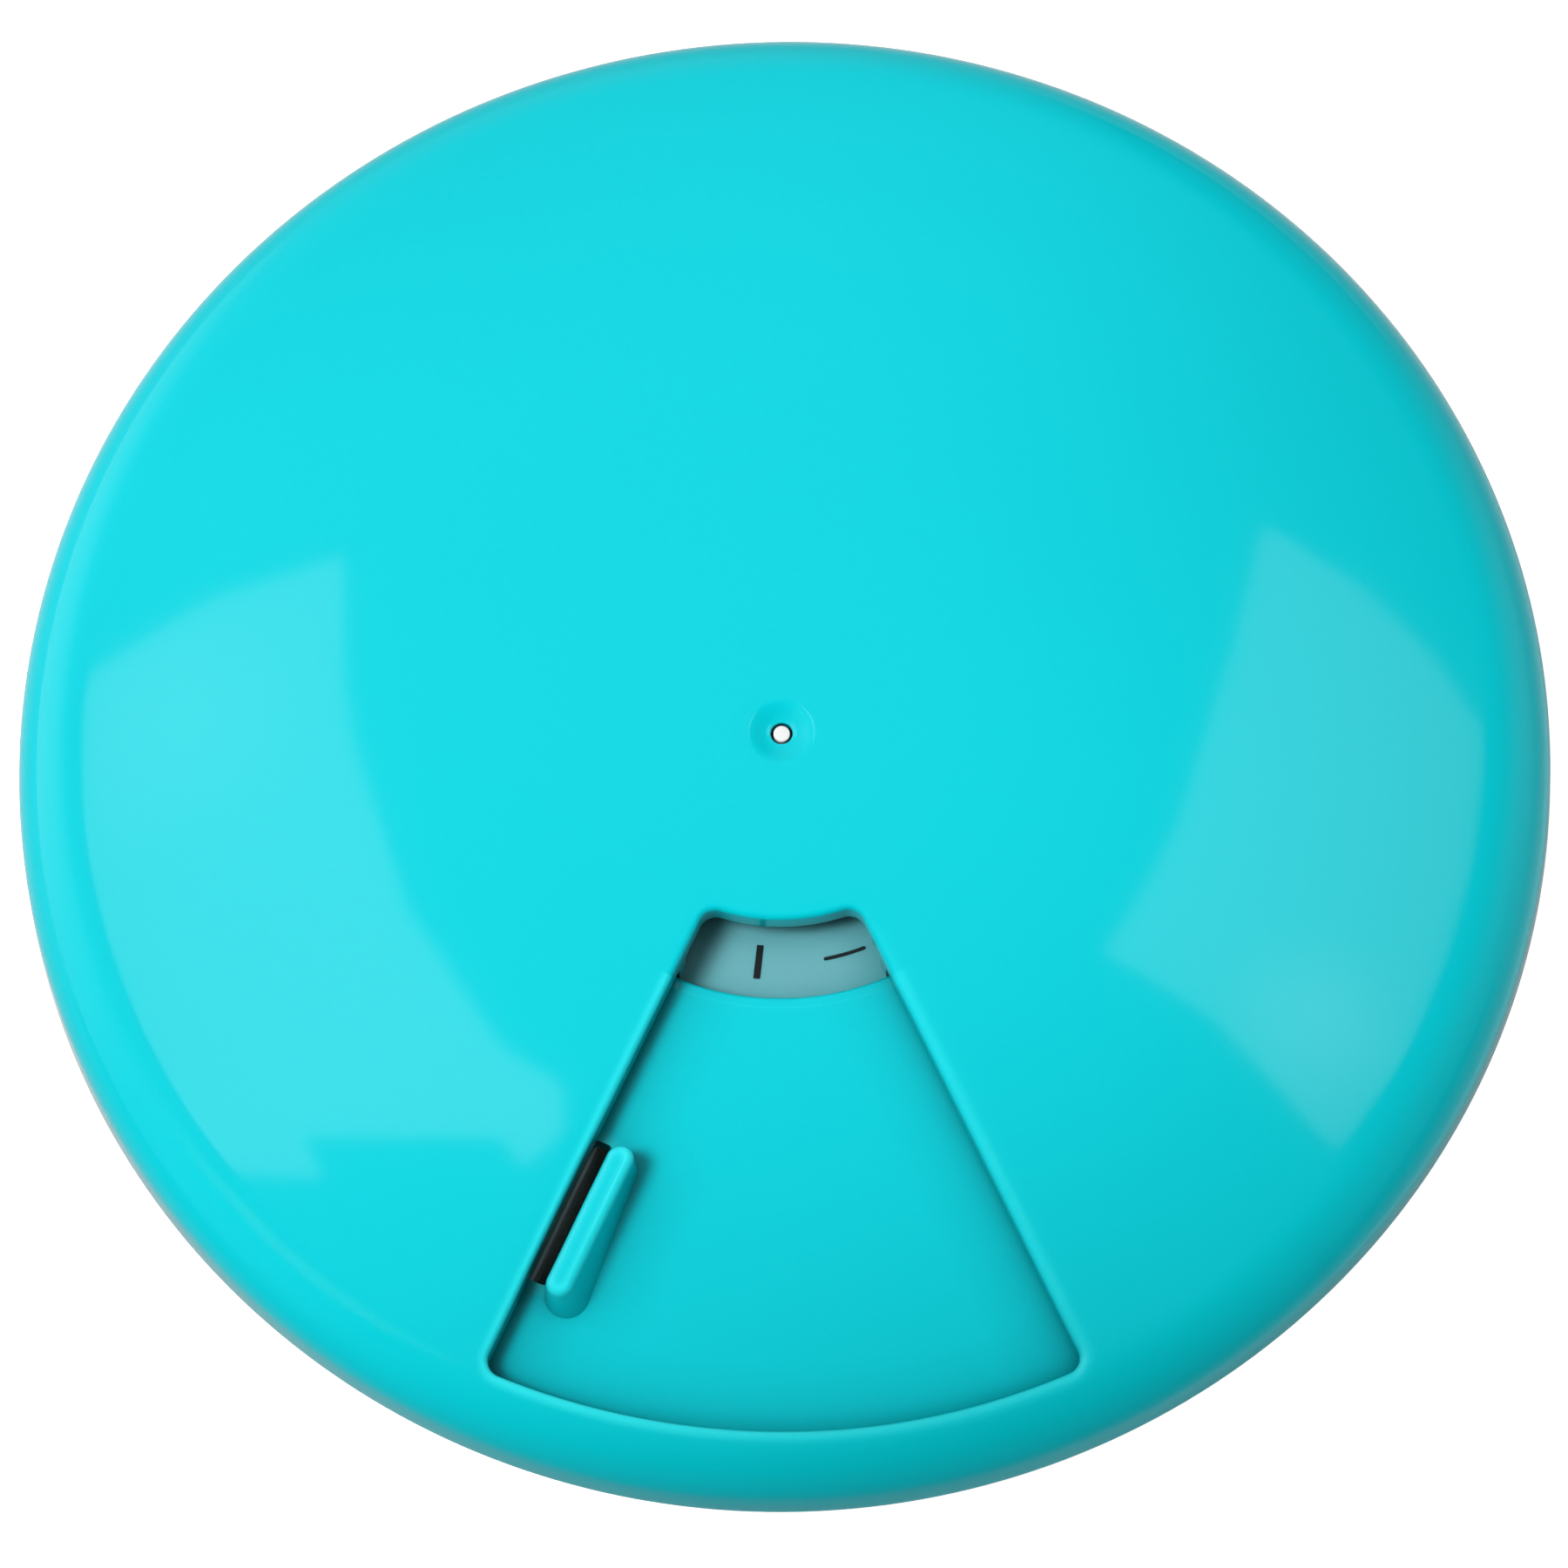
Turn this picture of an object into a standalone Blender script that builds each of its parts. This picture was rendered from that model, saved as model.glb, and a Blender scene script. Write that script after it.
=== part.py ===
# Rotating pill organizer: a turning cover with a sliding shutter over a tray of seven compartments.
# Metres, +Z up. The origin is the centre of the foot's underside, and the window faces -Y.
import math

import bmesh
import bpy
from mathutils import Matrix, Vector

MM = 0.001

# The whole object
COMPARTMENTS = 7
COVER_RADIUS = 46.0 * MM
TOTAL_HEIGHT = 26.0 * MM
SEAT_GAP = 0.3 * MM  # between pieces that touch
SLIDE_GAP = 0.4 * MM  # between the cover and the shutter under it
RUN_GAP = 0.4 * MM  # between the guide plate, which turns, and the tray
OVERCUT = 1.0 * MM  # how far every cutter runs past what it cuts
AXIS_MERGE = 0.01 * MM
ROUND_STEPS = 63
TRAY_STEPS = 49
RING_STEPS = 42
SMALL_STEPS = 24
SECTOR = 2 * math.pi / COMPARTMENTS

# Cover
CROWN_RADIUS = 330.0 * MM
RIM_ROLL_RADIUS = 4.0 * MM
SKIRT_LENGTH = 2.6 * MM
COVER_WALL = 1.6 * MM
PINHOLE_RADIUS = 0.65 * MM
DIMPLE_RADIUS = 1.6 * MM
DIMPLE_DEPTH = 0.35 * MM
BOSS_RADIUS = 4.0 * MM
BOSS_LENGTH = 10.0 * MM
FLUTE_RADIUS = 0.9 * MM
FLUTE_DEPTH = 0.55 * MM
RIB_WIDTH = 0.8 * MM  # the shutter's inner guide
STOP_WIDTH = 1.2 * MM  # the ribs that stop the shutter at each end of its travel
STOP_LENGTH = 18.0 * MM
BEAD_HEIGHT = 0.7 * MM  # the bead that the guide plate snaps over
BEAD_REACH = 0.35 * MM
PEGS = 4
PEG_RADIUS = 1.4 * MM
PEG_PLACE_RADIUS = 30.0 * MM

# Window
NUMBER_BAND = 4.2 * MM  # the strip of number ring that shows between the window and the shutter
WINDOW_INNER = 11.7 * MM
WINDOW_RIM = 3.3 * MM  # from the window's outer arc to the cover's edge
WINDOW_CORNER = 1.0 * MM
WINDOW_ROUND = 0.8 * MM  # the rounded top edge
WINDOW_ROUND_LIFT = 0.03 * MM
WINDOW_ROUND_STEPS = 4

# Shutter
SHUTTER_WALL = 1.2 * MM
SHUTTER_LAP = 0.5 * MM  # past the window's outer arc
SHUTTER_SIDE_LAP_ANGLE = math.radians(2.6)
SHUTTER_CORNER = 1.2 * MM
SHUTTER_TRAVEL = math.radians(42)  # until the grip is just short of the window's right edge
GRIP_LENGTH = 10.8 * MM  # along the window's left edge
GRIP_RIM_GAP = 5.0 * MM  # from the grip's outer end to the window's outer arc
GRIP_INNER_ROUND = 0.95 * MM
GRIP_OUTER_ROUND = 1.5 * MM
GRIP_TOP_ROUND = 0.75 * MM
GRIP_DRAFT = 0.15 * MM
GRIP_EDGE = 0.45 * MM
GRIP_PROUD = 0.7 * MM  # above the cover's surface
SLOT_WIDTH = 0.9 * MM
SLOT_EDGE_GAP = 0.15 * MM

# Guide plate
GUIDE_WALL = 1.0 * MM
GUIDE_EDGE_GAP = 0.45 * MM
GUIDE_RIM_WIDTH = 0.45 * MM

# Tray
TRAY_WALL = 1.3 * MM  # between compartments
BOWL_WALL = 1.6 * MM
RIM_WALL = 1.1 * MM
UPSTAND_GAP = 0.35 * MM  # between the tray's rim and the cover's bead
BASE_STEP = 0.4 * MM  # how far the bowl stands in from the cover's edge
FOOT_RADIUS = 33.0 * MM
FOOT_WIDTH = 3.0 * MM
FOOT_HEIGHT = 0.8 * MM
FLOOR_WALL = 1.6 * MM
BOWL_PULL_RADIUS_SHARE = 0.88  # of the cover's radius
BOWL_PULL_HEIGHT_SHARE = 0.24  # of the shoulder's height
BOWL_STEPS = 4
POCKET_CORNER = 2.2 * MM
POCKET_FILLET = 1.6 * MM
HUB_LAP = 0.9 * MM  # how far the hub stands out under the guide plate
HUB_WALL = 1.7 * MM
HUB_RECESS_HEIGHT = 3.0 * MM
POST_RADIUS = 3.4 * MM

# Number ring
RING_LAP = 0.1 * MM  # past the shutter's inner edge
RING_EDGE = 0.3 * MM
RING_HOLE_GAP = 0.6 * MM  # round the boss
LIP_LENGTH = 2.4 * MM
LIP_WIDTH = 0.6 * MM

# Pivot pin and spring washer
PIN_RADIUS = 1.5 * MM
PIN_TIP_RADIUS = 0.5 * MM
PIN_TIP_DEPTH = 0.06 * MM  # the tip lies just under the dimple's floor
PIN_TIP_LENGTH = 1.2 * MM
PIN_HEAD_RADIUS = 4.6 * MM
PIN_HEAD_HEIGHT = 1.2 * MM
PIN_HEAD_LIFT = 0.5 * MM  # above the table
PIN_CHAMFER = 0.3 * MM
WASHER_WALL = 0.35 * MM
WASHER_RADIUS = 4.4 * MM

# Click spring
SPRING_WALL = 0.35 * MM
SPRING_HEIGHT = 2.6 * MM
SPRING_HALF_SPAN = 9.5 * MM
SPRING_BOW = 2.6 * MM
NIB_HALF_WIDTH = 1.3 * MM
NIB_HEIGHT = 1.1 * MM
NIB_GAP = 0.12 * MM
HOOK_RADIUS = 0.7 * MM
HOOK_PLACE_SHARE = 0.88  # of the spring's half span

# Worked out from the sizes above
CROWN_BASE = TOTAL_HEIGHT - CROWN_RADIUS
ROLL_R = COVER_RADIUS - RIM_ROLL_RADIUS
ROLL_Z = CROWN_BASE + math.sqrt((CROWN_RADIUS - RIM_ROLL_RADIUS) ** 2 - ROLL_R ** 2)
ROLL_START = math.asin(ROLL_R / (CROWN_RADIUS - RIM_ROLL_RADIUS))
SKIRT_Z = ROLL_Z - SKIRT_LENGTH
SKIRT_INNER = COVER_RADIUS - COVER_WALL
SHUTTER_DROP = COVER_WALL + SLIDE_GAP  # depths below the dome's surface
SHUTTER_BASE_DROP = SHUTTER_DROP + SHUTTER_WALL
GUIDE_DROP = SHUTTER_BASE_DROP + SEAT_GAP
GUIDE_BASE_DROP = GUIDE_DROP + GUIDE_WALL
TRAY_DROP = GUIDE_BASE_DROP + RUN_GAP
WINDOW_OUTER = COVER_RADIUS - WINDOW_RIM
WINDOW_INSET = TRAY_WALL / 2
SHUTTER_INNER = WINDOW_INNER + NUMBER_BAND
SHUTTER_OUTER = WINDOW_OUTER + SHUTTER_LAP
SHUTTER_HALF_ANGLE = SECTOR / 2 + SHUTTER_SIDE_LAP_ANGLE
GRIP_END = WINDOW_OUTER - GRIP_RIM_GAP
GRIP_START = GRIP_END - GRIP_LENGTH
RING_RADIUS = SHUTTER_INNER + RING_LAP
GUIDE_INNER = RING_RADIUS + RUN_GAP
GUIDE_OUTER = SKIRT_INNER - GUIDE_EDGE_GAP
HUB_RADIUS = GUIDE_INNER + HUB_LAP
CUP_RADIUS = HUB_RADIUS - HUB_WALL
CUP_FLOOR = HUB_RECESS_HEIGHT + FLOOR_WALL
TRAY_FLOOR = FOOT_HEIGHT + FLOOR_WALL
SHOULDER_Z = SKIRT_Z - UPSTAND_GAP
BORE_RADIUS = PIN_RADIUS + SEAT_GAP


def crown_height(radius, drop):
    # The dome's sphere, set down by drop and run on past the rim's roll.
    return CROWN_BASE + math.sqrt((CROWN_RADIUS - drop) ** 2 - radius ** 2)


def shell_height(radius, drop):
    # The crown, and past it the roll of the rim, both offset inwards by drop.
    if radius <= (CROWN_RADIUS - drop) * math.sin(ROLL_START):
        return crown_height(radius, drop)
    return ROLL_Z + math.sqrt((RIM_ROLL_RADIUS - drop) ** 2 - (radius - ROLL_R) ** 2)


BEAD_Z = crown_height(GUIDE_OUTER, GUIDE_BASE_DROP) - SEAT_GAP
BEAD_RADIUS = GUIDE_OUTER - BEAD_REACH
UPSTAND_RADIUS = BEAD_RADIUS - UPSTAND_GAP
BOSS_TOP = crown_height(0, COVER_WALL)
BOSS_BOTTOM = BOSS_TOP - BOSS_LENGTH
RING_TOP = crown_height(SHUTTER_INNER, SHUTTER_BASE_DROP) - SEAT_GAP
RING_BOTTOM = crown_height(CUP_RADIUS, TRAY_DROP) + SEAT_GAP
DIMPLE_Z = TOTAL_HEIGHT - DIMPLE_DEPTH
PIN_TOP = DIMPLE_Z - PIN_TIP_DEPTH


def spaced(first, last, steps):
    return [first + (last - first) * k / steps for k in range(steps + 1)]


def shell_points(inner, drop, crown_steps, roll_steps):
    # From the radius inner outwards along the crown, and round the roll to the vertical.
    edge = (CROWN_RADIUS - drop) * math.sin(ROLL_START)
    points = [(r, crown_height(r, drop)) for r in spaced(inner, edge, crown_steps)]
    for angle in spaced(ROLL_START, math.pi / 2, roll_steps)[1:]:
        reach = RIM_ROLL_RADIUS - drop
        points.append((ROLL_R + reach * math.sin(angle), ROLL_Z + reach * math.cos(angle)))
    return points


def make_collection(name):
    made = bpy.data.collections.new(name)
    bpy.context.scene.collection.children.link(made)
    return made


def make_material(name, colour, roughness, metallic=0.0):
    made = bpy.data.materials.new(name)
    made.use_nodes = True
    shader = made.node_tree.nodes["Principled BSDF"]
    shader.inputs["Base Color"].default_value = (*colour, 1.0)
    shader.inputs["Roughness"].default_value = roughness
    shader.inputs["Metallic"].default_value = metallic
    made.diffuse_color = (*colour, 1.0)
    return made


def make_object(name, mesh, group):
    made = bpy.data.objects.new(name, mesh)
    group.objects.link(made)
    if group is cutters:
        made.hide_render = True
        made.display_type = "WIRE"
    return made


def turned(name, profile, steps, group, closed=True):
    # A profile of (radius, height) points turned about Z. It runs down its outer side.
    mesh = bpy.data.meshes.new(name)
    count = len(profile)
    edges = [(k, k + 1) for k in range(count - 1)]
    if closed:
        edges.append((count - 1, 0))
    mesh.from_pydata([(r, 0, z) for r, z in profile], edges, [])
    made = make_object(name, mesh, group)
    screw = made.modifiers.new("Turn", "SCREW")
    screw.axis = "Z"
    screw.angle = 2 * math.pi
    screw.steps = steps
    screw.render_steps = steps
    screw.use_merge_vertices = True
    screw.merge_threshold = AXIS_MERGE
    screw.use_smooth_shade = True
    return made


def loft(name, rings, group):
    # A closed body through rings of equally many points, lowest ring first.
    shape = bmesh.new()
    rows = [[shape.verts.new(point) for point in ring] for ring in rings]
    for low, high in zip(rows, rows[1:]):
        for k in range(len(low)):
            after = (k + 1) % len(low)
            shape.faces.new((low[k], low[after], high[after], high[k]))
    shape.faces.new(rows[0][::-1])
    shape.faces.new(rows[-1])
    bmesh.ops.recalc_face_normals(shape, faces=shape.faces)
    mesh = bpy.data.meshes.new(name)
    shape.to_mesh(mesh)
    shape.free()
    return make_object(name, mesh, group)


def cylinder(name, place, radius, low, high, group, steps=SMALL_STEPS):
    mesh = bpy.data.meshes.new(name)
    shape = bmesh.new()
    bmesh.ops.create_cone(
        shape, cap_ends=True, segments=steps, radius1=radius, radius2=radius, depth=high - low,
        matrix=Matrix.Translation((place[0], place[1], (low + high) / 2)))
    shape.to_mesh(mesh)
    shape.free()
    return make_object(name, mesh, group)


def boolean(target, other, operation):
    change = target.modifiers.new(other.name, "BOOLEAN")
    change.operation = operation
    change.solver = "EXACT"
    change.object = other


def finish(piece, material, parent, edge_angle=math.radians(28)):
    # Applies the modifiers, shades round faces smooth, and hangs the piece on its turning axis.
    bpy.context.view_layer.update()
    evaluated = piece.evaluated_get(bpy.context.evaluated_depsgraph_get())
    mesh = bpy.data.meshes.new_from_object(evaluated)
    piece.modifiers.clear()
    piece.data = mesh
    mesh.name = piece.name
    mesh.materials.clear()
    mesh.materials.append(material)
    mesh.shade_smooth()
    mesh.set_sharp_from_angle(angle=edge_angle)
    piece.parent = parent


def polar(radius, angle):
    # Angles count from the window's middle, -Y, and grow towards +X.
    return Vector((radius * math.sin(angle), -radius * math.cos(angle)))


def arc(centre, radius, first, last, steps):
    # From direction first to direction last, the short way round.
    begin = math.atan2(first.y, first.x)
    swing = (math.atan2(last.y, last.x) - begin + math.pi) % (2 * math.pi) - math.pi
    angles = [begin + swing * k / steps for k in range(steps + 1)]
    return [centre + Vector((math.cos(a), math.sin(a))) * radius for a in angles]


def sector_outline(inner, outer, half_angle, inset, inner_corner, outer_corner, arc_steps=(5, 3)):
    # A wedge about -Y with round corners. Its sides lie inset from the radii at the half angle.
    # Half the outer arc and half the inner one have arc_steps.
    side = polar(1, half_angle)
    inward = Vector((-math.cos(half_angle), -math.sin(half_angle)))

    def corner_centre(reach, radius):
        across = inset + radius
        return side * math.sqrt(reach ** 2 - across ** 2) + inward * across

    far = corner_centre(outer - outer_corner, outer_corner)
    near = corner_centre(inner + inner_corner, inner_corner)
    far_angle = math.atan2(far.x, -far.y)
    near_angle = math.atan2(near.x, -near.y)
    right = [polar(outer, angle) for angle in spaced(0, far_angle, arc_steps[0])]
    right += arc(far, outer_corner, far.normalized(), -inward, 2)[1:]
    right += arc(near, inner_corner, -inward, -near.normalized(), 2)
    right += [polar(inner, angle) for angle in spaced(near_angle, 0, arc_steps[1])][1:]
    left = [Vector((-p.x, p.y)) for p in right[-2:0:-1]]
    return right + left


def at_height(points, z):
    return [(p.x, p.y, z) for p in points]


def on_shell(points, drop):
    return [(p.x, p.y, shell_height(p.length, drop)) for p in points]


def prism(name, outline, low, high, group):
    return loft(name, [at_height(outline, low), at_height(outline, high)], group)


def window_outline(spread=0):
    return sector_outline(
        WINDOW_INNER - spread, WINDOW_OUTER + spread, SECTOR / 2, WINDOW_INSET - spread,
        WINDOW_CORNER + spread, WINDOW_CORNER + spread)


def side_point(angle, along, across):
    # Along the radius at angle, and across it towards larger angles.
    return polar(along, angle) + Vector((math.cos(angle), math.sin(angle))) * across


def window_cutter():
    # The wedge with a rounded top edge that follows the dome.
    rings = [at_height(window_outline(), BEAD_Z)]
    for angle in spaced(math.pi / 2, 0, WINDOW_ROUND_STEPS):
        spread = WINDOW_ROUND * (1 - math.sin(angle))
        drop = WINDOW_ROUND * (1 - math.cos(angle)) - WINDOW_ROUND_LIFT
        rings.append(on_shell(window_outline(spread), drop))
    rings.append(at_height(window_outline(WINDOW_ROUND), TOTAL_HEIGHT + OVERCUT))
    return loft("window_cutter", rings, cutters)


def stop_rib(name, angle, towards):
    # A rib under the cover beside the radius at angle, on the side that towards points to.
    near = towards * SEAT_GAP
    far = towards * (SEAT_GAP + STOP_WIDTH)
    rings = []
    for along in (SHUTTER_INNER, SHUTTER_INNER + STOP_LENGTH):
        ring = []
        corners = (
            (near, COVER_WALL / 2), (far, COVER_WALL / 2),
            (far, SHUTTER_BASE_DROP), (near, SHUTTER_BASE_DROP))
        for across, drop in corners:
            p = side_point(angle, along, across)
            ring.append((p.x, p.y, crown_height(along, drop)))
        rings.append(ring)
    return loft(name, rings, cutters)


def peg_places():
    # Spread over the part of the cover that the shutter never sweeps.
    clear = math.atan2(2 * PEG_RADIUS + STOP_WIDTH, PEG_PLACE_RADIUS)
    first = SHUTTER_HALF_ANGLE + SHUTTER_TRAVEL + 2 * clear
    last = 2 * math.pi - SHUTTER_HALF_ANGLE - 2 * clear
    return [polar(PEG_PLACE_RADIUS, angle) for angle in spaced(first, last, PEGS - 1)]


def make_cover():
    rib_outer = SHUTTER_INNER - SEAT_GAP
    rib_inner = rib_outer - RIB_WIDTH
    profile = [(PINHOLE_RADIUS, DIMPLE_Z)]
    half_way = (PINHOLE_RADIUS + DIMPLE_RADIUS) / 2
    profile.append((half_way, DIMPLE_Z + DIMPLE_DEPTH / 4))
    profile += shell_points(DIMPLE_RADIUS, 0, 4, 6)
    profile += [(COVER_RADIUS, SKIRT_Z), (SKIRT_INNER, SKIRT_Z)]
    profile += [
        (SKIRT_INNER, BEAD_Z - BEAD_HEIGHT), (BEAD_RADIUS, BEAD_Z - BEAD_HEIGHT / 3),
        (BEAD_RADIUS, BEAD_Z), (SKIRT_INNER, BEAD_Z)]
    profile += shell_points(rib_outer, COVER_WALL, 3, 3)[::-1]
    profile += [
        (rib_outer, crown_height(rib_outer, SHUTTER_BASE_DROP)),
        (rib_inner, crown_height(rib_inner, SHUTTER_BASE_DROP)),
        (rib_inner, crown_height(rib_inner, COVER_WALL))]
    profile += [
        (BOSS_RADIUS, crown_height(BOSS_RADIUS, COVER_WALL)), (BOSS_RADIUS, BOSS_BOTTOM),
        (BORE_RADIUS, BOSS_BOTTOM), (BORE_RADIUS, BOSS_TOP), (PINHOLE_RADIUS, BOSS_TOP)]
    cover = turned("cover", profile, ROUND_STEPS, parts)
    for name, angle, towards in (
            ("closed_stop", -SHUTTER_HALF_ANGLE, -1),
            ("open_stop", SHUTTER_HALF_ANGLE + SHUTTER_TRAVEL, 1)):
        boolean(cover, stop_rib(name, angle, towards), "UNION")
    for k, place in enumerate(peg_places()):
        low = crown_height(PEG_PLACE_RADIUS, GUIDE_BASE_DROP - GUIDE_WALL / 3)
        high = crown_height(PEG_PLACE_RADIUS, COVER_WALL / 2)
        boolean(cover, cylinder(f"peg_{k}", place, PEG_RADIUS, low, high, cutters, 16), "UNION")
    for k in range(COMPARTMENTS):
        place = polar(BOSS_RADIUS + FLUTE_RADIUS - FLUTE_DEPTH, math.pi + k * SECTOR)
        cutter = cylinder(
            f"flute_{k}", place, FLUTE_RADIUS, BOSS_BOTTOM - OVERCUT, RING_BOTTOM, cutters, 12)
        boolean(cover, cutter, "DIFFERENCE")
    boolean(cover, window_cutter(), "DIFFERENCE")
    finish(cover, cyan, cover_turn)


def grip_outline(near, far, inner_round, outer_round):
    # Two circles and the two lines that touch both: near and far are the circles' centres.
    reach = far - near
    lean = (inner_round - outer_round) / reach.length
    along = reach.normalized()
    across = Vector((-along.y, along.x))
    left = along * lean + across * math.sqrt(1 - lean ** 2)
    right = along * lean - across * math.sqrt(1 - lean ** 2)
    ahead = arc(far, outer_round, right, along, 3) + arc(far, outer_round, along, left, 3)[1:]
    behind = arc(near, inner_round, left, -along, 3) + arc(near, inner_round, -along, right, 3)[1:]
    return ahead + behind


def make_grip():
    # A tapered base that narrows to an even ridge along the slot.
    angle = -SECTOR / 2
    face = WINDOW_INSET + SLOT_EDGE_GAP + SLOT_WIDTH

    def ring(inner_round, outer_round, draft, drop):
        near = side_point(angle, GRIP_START + inner_round, face + inner_round)
        far = side_point(angle, GRIP_END - outer_round, face + outer_round)
        points = grip_outline(near, far, inner_round - draft, outer_round - draft)
        return [(p.x, p.y, crown_height(p.length, drop)) for p in points]

    top = -GRIP_PROUD
    rings = [ring(GRIP_INNER_ROUND, GRIP_OUTER_ROUND, 0, SHUTTER_DROP + SHUTTER_WALL / 2)]
    rings.append(ring(GRIP_INNER_ROUND, GRIP_OUTER_ROUND, 0, SHUTTER_DROP))
    for turned_by in spaced(0, math.pi / 2, 3):
        draft = GRIP_DRAFT + GRIP_EDGE * (1 - math.cos(turned_by))
        rings.append(ring(
            GRIP_INNER_ROUND, (GRIP_TOP_ROUND + GRIP_INNER_ROUND) / 2, draft,
            top + GRIP_EDGE * (1 - math.sin(turned_by))))
    return loft("grip", rings, cutters)


def make_shutter():
    overrun = SEAT_GAP
    inner = SHUTTER_INNER - OVERCUT
    outer = SHUTTER_OUTER + overrun
    radii = spaced(inner, outer, 8)
    profile = [(r, shell_height(r, SHUTTER_DROP)) for r in radii]
    profile += [(r, crown_height(r, SHUTTER_BASE_DROP)) for r in radii[::-1]]
    shutter = turned("shutter", profile, ROUND_STEPS, parts)
    outline = sector_outline(
        SHUTTER_INNER, SHUTTER_OUTER, SHUTTER_HALF_ANGLE, 0, SHUTTER_CORNER, SHUTTER_CORNER)
    low = crown_height(outer, SHUTTER_BASE_DROP) - OVERCUT
    boolean(shutter, prism("shutter_wedge", outline, low, TOTAL_HEIGHT, cutters), "INTERSECT")
    boolean(shutter, make_grip(), "UNION")
    angle = -SECTOR / 2
    left = WINDOW_INSET + SLOT_EDGE_GAP
    corners = (
        (GRIP_START, left), (GRIP_END - GRIP_OUTER_ROUND, left),
        (GRIP_END - GRIP_OUTER_ROUND, left + SLOT_WIDTH), (GRIP_START, left + SLOT_WIDTH))
    slot = [side_point(angle, along, across) for along, across in corners]
    boolean(shutter, prism("grip_slot", slot[::-1], low, TOTAL_HEIGHT, cutters), "DIFFERENCE")
    finish(shutter, cyan, shutter_turn)


def make_guide_plate():
    rim_inner = GUIDE_OUTER - GUIDE_RIM_WIDTH
    rim_drop = COVER_WALL + SEAT_GAP
    radii = spaced(GUIDE_INNER, rim_inner, 5)
    profile = [(r, crown_height(r, GUIDE_DROP)) for r in radii]
    profile += [(r, shell_height(r, rim_drop)) for r in (rim_inner, GUIDE_OUTER)]
    profile += [(GUIDE_OUTER, crown_height(GUIDE_OUTER, GUIDE_BASE_DROP))]
    profile += [(r, crown_height(r, GUIDE_BASE_DROP)) for r in radii[::-1]]
    plate = turned("guide_plate", profile, ROUND_STEPS, parts)
    opening = sector_outline(
        GUIDE_INNER - OVERCUT, WINDOW_OUTER, SECTOR / 2, WINDOW_INSET, WINDOW_CORNER, WINDOW_CORNER)
    low = crown_height(GUIDE_OUTER, GUIDE_BASE_DROP) - OVERCUT
    boolean(plate, prism("guide_opening", opening, low, TOTAL_HEIGHT, cutters), "DIFFERENCE")
    for k, place in enumerate(peg_places()):
        hole = cylinder(f"peg_hole_{k}", place, PEG_RADIUS + SEAT_GAP, low, TOTAL_HEIGHT, cutters, 16)
        boolean(plate, hole, "DIFFERENCE")
    finish(plate, white, cover_turn)


def bowl_point(share):
    # The bowl's outside, from the shoulder down to the foot, as a quadratic curve.
    points = (
        Vector((COVER_RADIUS - BASE_STEP, SHOULDER_Z)),
        Vector((COVER_RADIUS * BOWL_PULL_RADIUS_SHARE, SHOULDER_Z * BOWL_PULL_HEIGHT_SHARE)),
        Vector((FOOT_RADIUS, 0)))
    rest = 1 - share
    place = points[0] * rest ** 2 + points[1] * 2 * share * rest + points[2] * share ** 2
    run = (points[1] - points[0]) * rest + (points[2] - points[1]) * share
    return place, Vector((run.y, -run.x)).normalized()


def bowl_inner_radius(height):
    # The inside of the bowl's wall at a height, found by halving.
    low, high = 0.0, 1.0
    for _ in range(40):
        share = (low + high) / 2
        place, inward = bowl_point(share)
        inside = place + inward * BOWL_WALL
        if inside.y > height:
            low = share
        else:
            high = share
    return min(inside.x, UPSTAND_RADIUS - RIM_WALL)


def pocket_rings():
    heights = spaced(TRAY_FLOOR + POCKET_FILLET, SHOULDER_Z, 2)
    levels = []
    for angle in spaced(0, math.pi / 2, 2)[:-1]:
        draw_in = POCKET_FILLET * (1 - math.sin(angle))
        levels.append((TRAY_FLOOR + POCKET_FILLET * (1 - math.cos(angle)), draw_in))
    levels += [(z, 0) for z in heights]
    levels.append((TOTAL_HEIGHT, 0))
    rings = []
    for z, draw_in in levels:
        outer = bowl_inner_radius(max(z, TRAY_FLOOR + POCKET_FILLET))
        corner = POCKET_CORNER - draw_in
        inset = TRAY_WALL / 2 + draw_in
        outline = sector_outline(
            HUB_RADIUS + draw_in, outer - draw_in, SECTOR / 2, inset, corner, corner, (3, 2))
        rings.append(at_height(outline, z))
    return rings


def make_tray():
    top_radii = spaced(CUP_RADIUS, UPSTAND_RADIUS, 2)
    post_top = BOSS_BOTTOM - SEAT_GAP
    profile = [(BORE_RADIUS + SEAT_GAP, post_top), (POST_RADIUS, post_top)]
    profile += [(POST_RADIUS, CUP_FLOOR), (CUP_RADIUS, CUP_FLOOR)]
    profile += [(r, crown_height(r, TRAY_DROP)) for r in top_radii]
    profile.append((UPSTAND_RADIUS, SHOULDER_Z))
    for share in spaced(0, 1, BOWL_STEPS):
        place, _ = bowl_point(share)
        profile.append((place.x, place.y))
    foot_inner = FOOT_RADIUS - FOOT_WIDTH
    recess = CUP_RADIUS - HUB_WALL
    profile += [
        (foot_inner, 0), (foot_inner - FOOT_HEIGHT / 2, FOOT_HEIGHT), (recess, FOOT_HEIGHT),
        (recess - FOOT_HEIGHT, HUB_RECESS_HEIGHT), (BORE_RADIUS + SEAT_GAP, HUB_RECESS_HEIGHT)]
    tray = turned("tray", profile, TRAY_STEPS, parts)
    rings = pocket_rings()
    for k in range(COMPARTMENTS):
        spin = Matrix.Rotation(k * SECTOR, 3, "Z")
        turned_rings = [[spin @ Vector(point) for point in ring] for ring in rings]
        boolean(tray, loft(f"pocket_{k}", turned_rings, cutters), "DIFFERENCE")
    finish(tray, translucent_white, None)


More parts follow.
